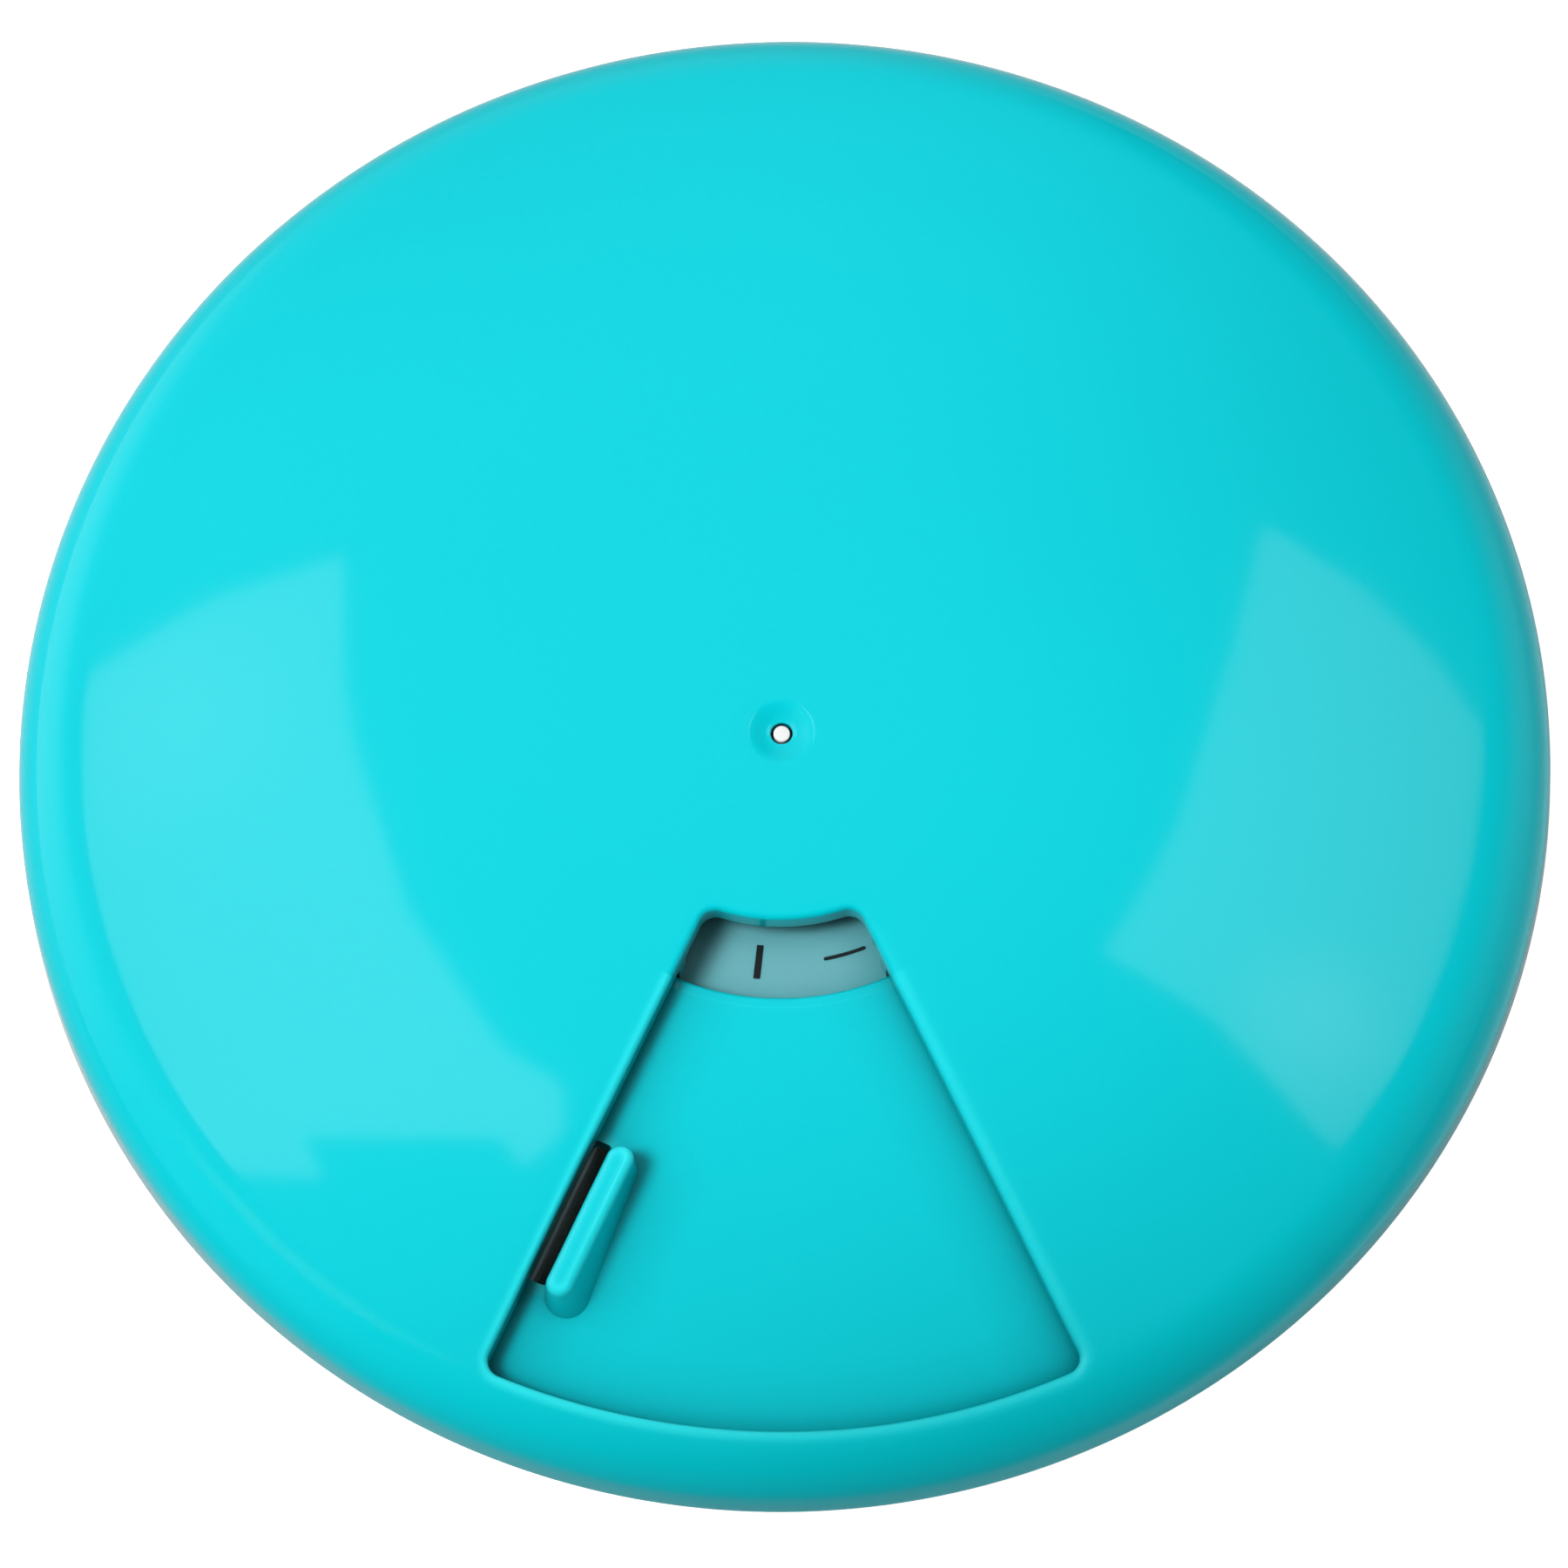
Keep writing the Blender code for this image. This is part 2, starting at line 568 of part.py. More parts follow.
def spring_line(across):
    # The leaf's middle line: a bow with a nib that points at the cover's boss.
    nib_y = BOSS_RADIUS + NIB_GAP + SPRING_WALL / 2
    rise = NIB_HEIGHT
    if abs(across) < NIB_HALF_WIDTH:
        rise = NIB_HEIGHT * (1 - math.cos(math.pi * across / NIB_HALF_WIDTH)) / 2
    return nib_y + rise + SPRING_BOW * (across / SPRING_HALF_SPAN) ** 2


def make_click_spring():
    arm = spaced(NIB_HALF_WIDTH, SPRING_HALF_SPAN, 5)
    nib = spaced(-NIB_HALF_WIDTH, NIB_HALF_WIDTH, 8)
    line = [-x for x in arm[:0:-1]] + nib + arm[1:]
    high = RING_BOTTOM - SEAT_GAP
    low = high - SPRING_HEIGHT
    verts = [(x, spring_line(x), z) for x in line for z in (low, high)]
    faces = [(2 * k, 2 * k + 2, 2 * k + 3, 2 * k + 1) for k in range(len(line) - 1)]
    mesh = bpy.data.meshes.new("click_spring")
    mesh.from_pydata(verts, [], faces)
    spring = make_object("click_spring", mesh, parts)
    wall = spring.modifiers.new("Wall", "SOLIDIFY")
    wall.thickness = SPRING_WALL
    wall.offset = 0
    finish(spring, steel, None)


def make_number_ring():
    lip_outer = CUP_RADIUS - SEAT_GAP
    lip_inner = lip_outer - LIP_WIDTH
    hole = BOSS_RADIUS + RING_HOLE_GAP
    profile = [
        (hole, RING_TOP), (RING_RADIUS - RING_EDGE, RING_TOP), (RING_RADIUS, RING_TOP - RING_EDGE),
        (RING_RADIUS, RING_BOTTOM), (lip_outer, RING_BOTTOM), (lip_outer, RING_BOTTOM - LIP_LENGTH),
        (lip_inner, RING_BOTTOM - LIP_LENGTH), (lip_inner, RING_BOTTOM), (hole, RING_BOTTOM)]
    ring = turned("number_ring", profile, RING_STEPS, parts)
    away = SPRING_WALL / 2 + SEAT_GAP + HOOK_RADIUS
    for k, side in enumerate((-1, 1)):
        x = side * SPRING_HALF_SPAN * HOOK_PLACE_SHARE
        slope = 2 * SPRING_BOW * x / SPRING_HALF_SPAN ** 2
        out = Vector((-slope, 1)).normalized()
        for j, way in enumerate((-1, 1)):
            place = Vector((x, spring_line(x))) + out * away * way
            low = RING_BOTTOM - SPRING_HEIGHT
            hook = cylinder(f"hook_{k}_{j}", place, HOOK_RADIUS, low, RING_TOP - RING_EDGE, cutters, 10)
            boolean(ring, hook, "UNION")
    finish(ring, grey_white, None)


def make_pivot_pin():
    head_top = PIN_HEAD_LIFT + PIN_HEAD_HEIGHT
    shoulder = PIN_TOP - PIN_TIP_LENGTH - COVER_WALL
    profile = [
        (0, PIN_TOP), (PIN_TIP_RADIUS - PIN_TIP_DEPTH, PIN_TOP),
        (PIN_TIP_RADIUS, PIN_TOP - PIN_TIP_DEPTH), (PIN_TIP_RADIUS, shoulder + PIN_CHAMFER),
        (PIN_RADIUS - PIN_CHAMFER, shoulder + PIN_CHAMFER),
        (PIN_RADIUS, shoulder), (PIN_RADIUS, head_top), (PIN_HEAD_RADIUS, head_top),
        (PIN_HEAD_RADIUS, PIN_HEAD_LIFT + PIN_CHAMFER), (PIN_HEAD_RADIUS - PIN_CHAMFER, PIN_HEAD_LIFT),
        (0, PIN_HEAD_LIFT)]
    pin = turned("pivot_pin", profile, SMALL_STEPS, parts, closed=False)
    finish(pin, white, cover_turn)


def make_spring_washer():
    # A cone: its inner edge bears on the tray and its outer edge on the pin's head.
    inner = BORE_RADIUS + SEAT_GAP
    high = HUB_RECESS_HEIGHT - SEAT_GAP
    low = PIN_HEAD_LIFT + PIN_HEAD_HEIGHT + SEAT_GAP
    profile = [
        (inner, high), (WASHER_RADIUS, low + WASHER_WALL),
        (WASHER_RADIUS, low), (inner, high - WASHER_WALL)]
    washer = turned("spring_washer", profile, SMALL_STEPS, parts)
    finish(washer, steel, None)


for old in list(bpy.data.objects):
    bpy.data.objects.remove(old, do_unlink=True)

parts = make_collection("pill_organizer")
cutters = make_collection("pill_organizer_cutters")

cyan = make_material("cyan_gloss_plastic", (0.006, 0.64, 0.73), 0.18)
white = make_material("white_plastic", (0.86, 0.87, 0.86), 0.35)
translucent_white = make_material("milky_plastic", (0.82, 0.85, 0.85), 0.4)
grey_white = make_material("grey_white_plastic", (0.55, 0.62, 0.63), 0.45)
steel = make_material("spring_steel", (0.62, 0.62, 0.6), 0.3, 1.0)

# The two turning axes: the cover on the tray, and the shutter in the cover.
cover_turn = bpy.data.objects.new("cover_turn", None)
shutter_turn = bpy.data.objects.new("shutter_turn", None)
for axis in (cover_turn, shutter_turn):
    parts.objects.link(axis)
shutter_turn.parent = cover_turn

make_tray()
make_click_spring()
make_number_ring()
make_spring_washer()
make_pivot_pin()
make_guide_plate()
make_shutter()
make_cover()
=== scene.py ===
import math

import bmesh
import bpy
import numpy as np
from mathutils import Matrix, Vector
from mathutils.geometry import delaunay_2d_cdt


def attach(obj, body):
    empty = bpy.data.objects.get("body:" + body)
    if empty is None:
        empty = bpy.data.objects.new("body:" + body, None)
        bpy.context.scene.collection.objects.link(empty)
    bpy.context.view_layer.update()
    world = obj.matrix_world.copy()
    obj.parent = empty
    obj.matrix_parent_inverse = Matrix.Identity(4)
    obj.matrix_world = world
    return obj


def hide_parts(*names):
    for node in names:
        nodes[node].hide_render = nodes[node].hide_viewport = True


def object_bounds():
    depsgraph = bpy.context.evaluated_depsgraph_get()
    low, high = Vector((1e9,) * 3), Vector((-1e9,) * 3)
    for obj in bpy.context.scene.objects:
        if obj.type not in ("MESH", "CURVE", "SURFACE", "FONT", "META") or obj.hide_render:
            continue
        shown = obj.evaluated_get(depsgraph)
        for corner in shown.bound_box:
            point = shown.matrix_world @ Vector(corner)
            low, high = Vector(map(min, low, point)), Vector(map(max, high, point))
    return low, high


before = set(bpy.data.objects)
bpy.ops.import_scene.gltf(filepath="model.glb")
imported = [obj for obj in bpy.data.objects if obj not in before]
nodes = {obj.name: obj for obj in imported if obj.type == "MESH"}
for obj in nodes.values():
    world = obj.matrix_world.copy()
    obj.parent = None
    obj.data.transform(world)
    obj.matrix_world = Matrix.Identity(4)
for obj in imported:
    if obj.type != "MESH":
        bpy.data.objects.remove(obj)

cadLow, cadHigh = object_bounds()
millimetre = 0.001
scene = bpy.context.scene
print("stage: frame loaded", len(nodes), "nodes")


# All sizes and places are millimetres in the frame's own axes: the window faces -Y.
organizer = {
    "compartments": 7, "coverRadius": 46.0, "height": cadHigh.z / millimetre,
    "crownRadius": 330.0, "rimRoll": 4.0,
    "coverWall": 1.6, "shutterWall": 1.2, "guideWall": 1.0, "trayWall": 1.3,
    "slideGap": 0.4, "seatGap": 0.3, "runGap": 0.4,
}
sector = 2 * math.pi / organizer["compartments"]
crownTop, coverWall, seatGap = (organizer[name] for name in ("height", "coverWall", "seatGap"))
shutterDrop = coverWall + organizer["slideGap"]
shutterBaseDrop = shutterDrop + organizer["shutterWall"]
guideDrop = shutterBaseDrop + seatGap
guideBaseDrop = guideDrop + organizer["guideWall"]
trayDrop = guideBaseDrop + organizer["runGap"]


def newObject(name, data):
    made = bpy.data.objects.new(name, data)
    scene.collection.objects.link(made)
    return made


photoView = {
    "distance": 1518.0, "elevation": 71.72, "azimuth": 4.13, "roll": 4.42,
    "imageSize": 1800.0, "topPixel": (897.1, 839.7), "pixelsPerMillimetre": 19.195,
    "sensor": 36.0, "nearest": 10.0, "furthest": 20000.0,
}


def placeCamera(values):
    # The dome's top is the point that the photograph's measured pixel looks at.
    azimuth = math.radians(values["azimuth"])
    elevation = math.radians(values["elevation"])
    level = math.cos(elevation)
    back = Vector((math.sin(azimuth) * level, -math.cos(azimuth) * level, math.sin(elevation)))
    data = bpy.data.cameras.new("photoCamera")
    camera = newObject("photoCamera", data)
    camera.location = Vector((0, 0, crownTop)) * millimetre + back * values["distance"] * millimetre
    turn = (-back).to_track_quat("-Z", "Y").to_matrix()
    turn = turn @ Matrix.Rotation(math.radians(-values["roll"]), 3, "Z")
    camera.rotation_euler = turn.to_euler()
    size, (across, down) = values["imageSize"], values["topPixel"]
    data.sensor_width = values["sensor"]
    data.lens = values["sensor"] * values["distance"] / (size / values["pixelsPerMillimetre"])
    data.shift_x = (size / 2 - across) / size
    data.shift_y = (down - size / 2) / size
    data.clip_start = values["nearest"] * millimetre
    data.clip_end = values["furthest"] * millimetre
    scene.camera = camera


placeCamera(photoView)
print("stage: camera placed")


# How far apart nodes stand in the editor.
columnWidth, rowHeight, outputColumn = 220, 250, 1500


def feed(tree, node, inputs):
    # An input takes a value, or a link from another node's socket.
    for key, value in inputs.items():
        if isinstance(value, bpy.types.NodeSocket):
            tree.links.new(value, node.inputs[key])
        else:
            node.inputs[key].default_value = value


def addNode(tree, kind, inputs={}, **settings):
    # A node stands one column to the right of what feeds it.
    node = tree.nodes.new(kind)
    for key, value in settings.items():
        setattr(node, key, value)
    feed(tree, node, inputs)
    feeders = [value.node for value in inputs.values() if isinstance(value, bpy.types.NodeSocket)]
    column = max((feeder.location.x + columnWidth for feeder in feeders), default=0)
    node.location = (column, -rowHeight * sum(other.location.x == column for other in tree.nodes))
    return node.outputs


def calculate(tree, operation, *values):
    return addNode(tree, "ShaderNodeMath", dict(enumerate(values)), operation=operation)[0]


def mixLevels(tree, share, first, second):
    return addNode(tree, "ShaderNodeMix", {0: share, 2: first, 3: second})[0]


def mixTones(tree, share, first, second):
    return addNode(tree, "ShaderNodeMix", {0: share, 6: first, 7: second}, data_type="RGBA")[2]


def remap(tree, value, low, high, first=0.0, last=1.0, **settings):
    return addNode(tree, "ShaderNodeMapRange", {
        "Value": value, "From Min": low, "From Max": high, "To Min": first, "To Max": last}, **settings)[0]


def newGroup(name, kind, inputs, outputs):
    # A node group with named sockets, and the sockets that bring its inputs in.
    group = bpy.data.node_groups.new(name, kind)
    for way, sockets in (("INPUT", inputs), ("OUTPUT", outputs)):
        for label, socket in sockets.items():
            group.interface.new_socket(label, in_out=way, socket_type="NodeSocket" + socket)
    return group, addNode(group, "NodeGroupInput")


def newMaterial(name):
    made = bpy.data.materials.new(name)
    made.use_nodes = True
    tree = made.node_tree
    for node in tree.nodes:
        node.location.x += outputColumn
    return made, tree, tree.nodes["Principled BSDF"], addNode(tree, "ShaderNodeTexCoord")["Object"]


# What all plastics share: the patterns' scales, and the levels between which a mark comes in.
finishValues = {
    "toneScale": 45.0, "glossScale": 140.0, "glossDetail": 5.0, "glossGrain": 0.6,
    "scuffScale": 110.0, "scuffLays": ((0.6, 14.0), (-0.9, 18.0)), "scuffLevels": (0.69, 0.78),
    "speckScale": 260.0, "speckLevels": (0.07, 0.03), "dustColour": (0.75, 0.78, 0.78, 1.0),
    # The last levels set which convex edges take the painted highlight.
    "paintedHighlightLevels": (0.55, 1.0),
}


def makeMouldedFinish():
    # Moulded plastic: slow changes of tone, slight changes of gloss, and the waviness of its skin.
    group, given = newGroup("mouldedFinish", "ShaderNodeTree", {
        "Position": "Vector", "Tone": "Color", "Tone Spread": "Float", "Gloss": "Float",
        "Gloss Spread": "Float", "Wave Size": "Float", "Grain Size": "Float", "Grain Share": "Float",
    }, {"Tone": "Color", "Roughness": "Float", "Height": "Float"})

    def noise(**inputs):
        return addNode(group, "ShaderNodeTexNoise", {"Vector": given["Position"], **inputs})["Fac"]

    slow = calculate(group, "SUBTRACT", noise(Scale=finishValues["toneScale"], Detail=2.0), 0.5)
    shade = calculate(group, "MULTIPLY_ADD", slow, given["Tone Spread"], 1.0)
    tone = addNode(group, "ShaderNodeVectorMath", {0: given["Tone"], "Scale": shade}, operation="SCALE")[0]
    smear = calculate(group, "SUBTRACT", noise(
        Scale=finishValues["glossScale"], Detail=finishValues["glossDetail"],
        Roughness=finishValues["glossGrain"]), 0.5)
    gloss = calculate(group, "MULTIPLY_ADD", smear, given["Gloss Spread"], given["Gloss"])
    wave = noise(Scale=given["Wave Size"], Detail=1.0)
    grain = noise(Scale=given["Grain Size"], Detail=3.0)
    skin = mixLevels(group, given["Grain Share"], wave, grain)
    addNode(group, "NodeGroupOutput", {"Tone": tone, "Roughness": gloss, "Height": skin})
    return group


def makeScuffs():
    # Hairline scuffs in two directions and specks of dust, as handling leaves on a plastic part.
    group, given = newGroup("scuffs", "ShaderNodeTree", {
        "Position": "Vector", "Roughness": "Float", "Scuff Gloss": "Float", "Tone": "Color",
        "Dust": "Float"}, {"Tone": "Color", "Roughness": "Float"})
    scuffs = []
    for turn, stretch in finishValues["scuffLays"]:
        lay = addNode(group, "ShaderNodeMapping", {
            "Vector": given["Position"], "Rotation": (0.0, 0.0, turn), "Scale": (1.0, stretch, 1.0)})[0]
        streak = addNode(group, "ShaderNodeTexNoise", {
            "Vector": lay, "Scale": finishValues["scuffScale"], "Detail": 2.0})["Fac"]
        scuffs.append(remap(group, streak, *finishValues["scuffLevels"]))
    both = calculate(group, "MAXIMUM", *scuffs)
    rough = calculate(group, "MULTIPLY_ADD", both, given["Scuff Gloss"], given["Roughness"])
    speck = addNode(group, "ShaderNodeTexVoronoi", {
        "Vector": given["Position"], "Scale": finishValues["speckScale"]})["Distance"]
    dusty = remap(group, speck, *finishValues["speckLevels"])
    dust = calculate(group, "MULTIPLY", dusty, given["Dust"])
    tone = mixTones(group, dust, given["Tone"], finishValues["dustColour"])
    addNode(group, "NodeGroupOutput", {"Tone": tone, "Roughness": rough})
    return group


def makeCornerTone():
    # Painted shade and painted highlight: the plastic's colour goes darker in corners and narrow gaps,
    # where shade falls, and paler on edges away from the pivot.
    group, given = newGroup("paintedShadeAndHighlight", "ShaderNodeTree", {
        "Position": "Vector", "Tone": "Color", "Painted Shade Tone": "Color", "Painted Shade Reach": "Float",
        "Painted Highlight Tone": "Color", "Painted Highlight Reach": "Float", "Painted Highlight From": "Float"}, {"Tone": "Color"})

    def openness(reach, **settings):
        return addNode(group, "ShaderNodeAmbientOcclusion", {"Distance": reach}, samples=4, **settings)["AO"]

    # Painted highlight: convex edges, found by occlusion looked for from inside, take a paler tone.
    edge = openness(given["Painted Highlight Reach"], inside=True, only_local=True)
    unhighlighted = remap(group, edge, *finishValues["paintedHighlightLevels"])
    # Within the given radius of the pivot, edges take no painted highlight.
    level = addNode(group, "ShaderNodeVectorMath", {
        0: given["Position"], 1: (1.0, 1.0, 0.0)}, operation="MULTIPLY")[0]
    out = addNode(group, "ShaderNodeVectorMath", {0: level}, operation="LENGTH")["Value"]
    near = calculate(group, "LESS_THAN", out, given["Painted Highlight From"])
    tone = mixTones(group, calculate(group, "MAXIMUM", unhighlighted, near), given["Painted Highlight Tone"], given["Tone"])
    # Painted shade: the colour darkens where occlusion finds other surfaces near.
    tone = mixTones(group, openness(given["Painted Shade Reach"]), given["Painted Shade Tone"], tone)
    addNode(group, "NodeGroupOutput", {"Tone": tone})
    return group


mouldedFinish = makeMouldedFinish()
scuffFinish = makeScuffs()
paintedShadeAndHighlight = makeCornerTone()


def handledSurface(tree, place, values, pattern):
    # The moulded finish, and over it the scuffs and the dust.
    finish = addNode(tree, "ShaderNodeGroup", {
        "Position": place, "Tone": (*values["colour"], 1.0), "Tone Spread": values["toneSpread"],
        "Gloss": values["roughness"], "Gloss Spread": values["glossSpread"], **pattern,
    }, node_tree=mouldedFinish)
    scuff = addNode(tree, "ShaderNodeGroup", {
        "Position": place, "Tone": finish["Tone"], "Roughness": finish["Roughness"],
        "Scuff Gloss": values["scuffs"], "Dust": values["dust"]}, node_tree=scuffFinish)
    return scuff["Tone"], scuff["Roughness"], finish["Height"]


def bumped(tree, relief, values):
    return addNode(tree, "ShaderNodeBump", {
        "Strength": values["bumpStrength"], "Distance": values["bumpHeight"] * millimetre,
        "Height": relief})[0]


def plasticMaterial(name, values):
    # Every plastic piece takes its place in the pattern from its own Object coordinates.
    made, tree, shader, place = newMaterial(name)
    values = {**plainPlastic, **values}
    tone, roughness, skin = handledSurface(tree, place, values, {
        "Wave Size": values["waveScale"], "Grain Size": values["grainScale"],
        "Grain Share": values["grainShare"]})
    # Painted shade in corners and gaps, and a painted highlight on edges, go into the base colour.
    tone = addNode(tree, "ShaderNodeGroup", {
        "Position": place, "Tone": tone, "Painted Highlight From": values["paintedHighlightFrom"] * millimetre,
        "Painted Shade Tone": (*values["paintedShadeColour"], 1.0), "Painted Shade Reach": values["paintedShadeReach"] * millimetre,
        "Painted Highlight Tone": (*values["paintedHighlightColour"], 1.0), "Painted Highlight Reach": values["paintedHighlightReach"] * millimetre,
    }, node_tree=paintedShadeAndHighlight)["Tone"]
    feed(tree, shader, {
        "Base Color": tone, "Roughness": roughness, "Normal": bumped(tree, skin, values),
        "IOR": values["ior"], "Subsurface Weight": values["glow"], "Subsurface Radius": values["glowReach"],
        "Subsurface Scale": millimetre})
    return made


# What every plastic has unless it says otherwise, down to the radius from which edges take the painted
# highlight.
plainPlastic = {
    "toneSpread": 0.05, "glossSpread": 0.1, "waveScale": 400.0, "bumpStrength": 0.5, "bumpHeight": 0.01,
    "dust": 0.1, "ior": 1.5, "glow": 0.0, "glowReach": (1.0, 1.0, 1.0), "paintedHighlightFrom": 2.0,
}
# Each plastic gives the colour and reach of its painted shade in recesses and of its painted highlight on
# edges.
cyan = plasticMaterial("cyanPlastic", {
    "colour": (0.0015, 0.62, 0.70), "toneSpread": 0.03, "roughness": 0.045, "glossSpread": 0.015,
    "waveScale": 300.0, "grainScale": 4000.0, "grainShare": 0.1, "bumpStrength": 0.35, "bumpHeight": 0.004,
    "scuffs": 0.02, "dust": 0.0, "ior": 1.46, "glowReach": (0.2, 1.0, 1.0),
    "paintedShadeReach": 4.5, "paintedShadeColour": (0.0, 0.05, 0.065),
    "paintedHighlightReach": 0.8, "paintedHighlightColour": (0.04, 0.90, 0.95), "paintedHighlightFrom": 16.5,
})
white = plasticMaterial("whitePlastic", {
    "colour": (0.86, 0.87, 0.86), "toneSpread": 0.04, "roughness": 0.32, "glossSpread": 0.08,
    "grainScale": 5000.0, "grainShare": 0.5,
    "scuffs": 0.08, "dust": 0.15, "ior": 1.49, "glow": 0.15, "glowReach": (1.0, 0.9, 0.8),
    "paintedShadeReach": 1.0, "paintedShadeColour": (0.60, 0.62, 0.61),
    "paintedHighlightReach": 0.3, "paintedHighlightColour": (0.90, 0.90, 0.89),
})
milky = plasticMaterial("milkyPlastic", {
    "colour": (0.80, 0.84, 0.84), "roughness": 0.36,
    "waveScale": 350.0, "grainScale": 4500.0, "grainShare": 0.55, "bumpHeight": 0.012,
    "scuffs": 0.1, "dust": 0.2, "glow": 0.35, "glowReach": (1.6, 1.5, 1.4),
    "paintedShadeReach": 2.0, "paintedShadeColour": (0.60, 0.66, 0.66),
    "paintedHighlightReach": 0.3, "paintedHighlightColour": (0.86, 0.89, 0.89),
})
# The day ring's colour is its own grey-white made darker and cyan: painted shade, and painted cyan light
# bounced from the window's walls.
greyWhitePaintedShade = plasticMaterial("greyWhitePlastic", {
    "colour": (0.17, 0.48, 0.53), "roughness": 0.42, "grainScale": 5500.0, "grainShare": 0.6,
    "scuffs": 0.06, "glow": 0.1,
    "paintedShadeReach": 3.2, "paintedShadeColour": (0.0, 0.20, 0.22),
    "paintedHighlightReach": 0.2, "paintedHighlightColour": (0.24, 0.55, 0.60),
})
ink = plasticMaterial("darkPrint", {
    "colour": (0.012, 0.014, 0.016), "toneSpread": 0.3, "roughness": 0.5, "glossSpread": 0.15,
    "waveScale": 900.0, "grainScale": 9000.0, "grainShare": 0.7, "bumpStrength": 0.6, "bumpHeight": 0.008,
    "scuffs": 0.05,
    "paintedShadeReach": 1.0, "paintedShadeColour": (0.006, 0.007, 0.008),
    "paintedHighlightReach": 0.01, "paintedHighlightColour": (0.012, 0.014, 0.016),
})


steelValues = {
    "colour": (0.60, 0.60, 0.58), "toneSpread": 0.12, "roughness": 0.28, "glossSpread": 0.2, "scuffs": 0.15,
    "dust": 0.0, "rollScale": (40.0, 40.0, 2200.0), "bumpStrength": 0.3, "bumpHeight": 0.004,
}


def steelMaterial(name, values):
    # Rolled strip: fine lines along the leaf.
    made, tree, shader, place = newMaterial(name)
    tone, roughness, _ = handledSurface(tree, place, values, {})
    lay = addNode(tree, "ShaderNodeMapping", {"Vector": place, "Scale": values["rollScale"]})[0]
    lines = addNode(tree, "ShaderNodeTexNoise", {"Vector": lay, "Scale": 1.0})["Fac"]
    feed(tree, shader, {
        "Base Color": tone, "Roughness": roughness, "Metallic": 1.0, "Normal": bumped(tree, lines, values)})
    return made


steel = steelMaterial("springSteel", steelValues)
for name in ("click_spring", "spring_washer"):
    nodes[name].data.materials.clear()
    nodes[name].data.materials.append(steel)
print("stage: materials made")


def crownHeight(radius, drop):
    # The dome's big sphere, set down by drop.
    reach = organizer["crownRadius"] - drop
    return crownTop - organizer["crownRadius"] + math.sqrt(reach ** 2 - radius ** 2)


rimRoll = organizer["rimRoll"]
rollRadius = organizer["coverRadius"] - rimRoll
rollStart = math.asin(rollRadius / (organizer["crownRadius"] - rimRoll))
rollHeight = crownHeight(rollRadius, rimRoll)


def shellHeight(radius, drop):
    # The crown, and past it the rounded rim.
    if radius <= (organizer["crownRadius"] - drop) * math.sin(rollStart):
        return crownHeight(radius, drop)
    return rollHeight + math.sqrt(max((rimRoll - drop) ** 2 - (radius - rollRadius) ** 2, 0))


def spaced(first, last, steps):
    return [first + (last - first) * k / steps for k in range(steps + 1)]


def edgeShares(steps):
    # A rounded edge from its top down: how far in and how far down it lies, as shares of its rounding.
    return [(1 - math.sin(turn), 1 - math.cos(turn)) for turn in spaced(0, math.pi / 2, steps)]


def eased(share):
    share = min(max(share, 0), 1)
    return share * share * (3 - 2 * share)


def polar(radius, angle):
    # Angles start at the window's middle and grow towards +X.
    return Vector((radius * math.sin(angle), -radius * math.cos(angle)))


def besideRadius(angle, along, across):
    return polar(along, angle) + Vector((math.cos(angle), math.sin(angle))) * across


def shortArc(centre, radius, first, last, steps):
    begin = math.atan2(first.y, first.x)
    swing = (math.atan2(last.y, last.x) - begin + math.pi) % (2 * math.pi) - math.pi
    turns = [begin + swing * share for share in spaced(0, 1, steps)]
    return [centre + Vector((math.cos(a), math.sin(a))) * radius for a in turns]


def roundEnd(centre, radius, first, middle, last, steps):
    return shortArc(centre, radius, first, middle, steps) + shortArc(centre, radius, middle, last, steps)[1:]


def wedgeOutline(inner, outer, halfAngle, inset, corner, steps):
    # A wedge with round corners, whose sides lie inset from the radii at the half angle.
    side = polar(1, halfAngle)
    inward = Vector((-math.cos(halfAngle), -math.sin(halfAngle)))

    def cornerCentre(reach):
        across = inset + corner
        return side * math.sqrt(reach ** 2 - across ** 2) + inward * across

    far = cornerCentre(outer - corner)
    near = cornerCentre(inner + corner)
    farAngle = math.atan2(far.x, -far.y)
    nearAngle = math.atan2(near.x, -near.y)
    right = [polar(outer, angle) for angle in spaced(0, farAngle, steps["outer"])]
    right += shortArc(far, corner, far.normalized(), -inward, steps["corner"])[1:]
    nearCorner = shortArc(near, corner, -inward, -near.normalized(), steps["corner"])
    right += [right[-1].lerp(nearCorner[0], share) for share in spaced(0, 1, steps["side"])[1:-1]]
    right += nearCorner
    right += [polar(inner, angle) for angle in spaced(nearAngle, 0, steps["inner"])][1:]
    return right + [Vector((-p.x, p.y)) for p in right[-2:0:-1]]


def circlePoints(radius, level, count):
    return [(*polar(radius, 2 * math.pi * k / count), level) for k in range(count)]


def levelPoints(outline, level):
    return [(p.x, p.y, level) for p in outline]


def liftPoints(outline, heightOf):
    return [(p.x, p.y, heightOf(p.length)) for p in outline]


def addRing(shape, points):
    return [shape.verts.new(point) for point in points]


def joinRings(shape, rings):
    # Faces between neighbouring rings; a ring that repeats one vertex closes them to a point.
    for low, high in zip(rings, rings[1:]):
        for k in range(len(low)):
            after = (k + 1) % len(low)
            shape.faces.new(list(dict.fromkeys((low[k], low[after], high[after], high[k]))))


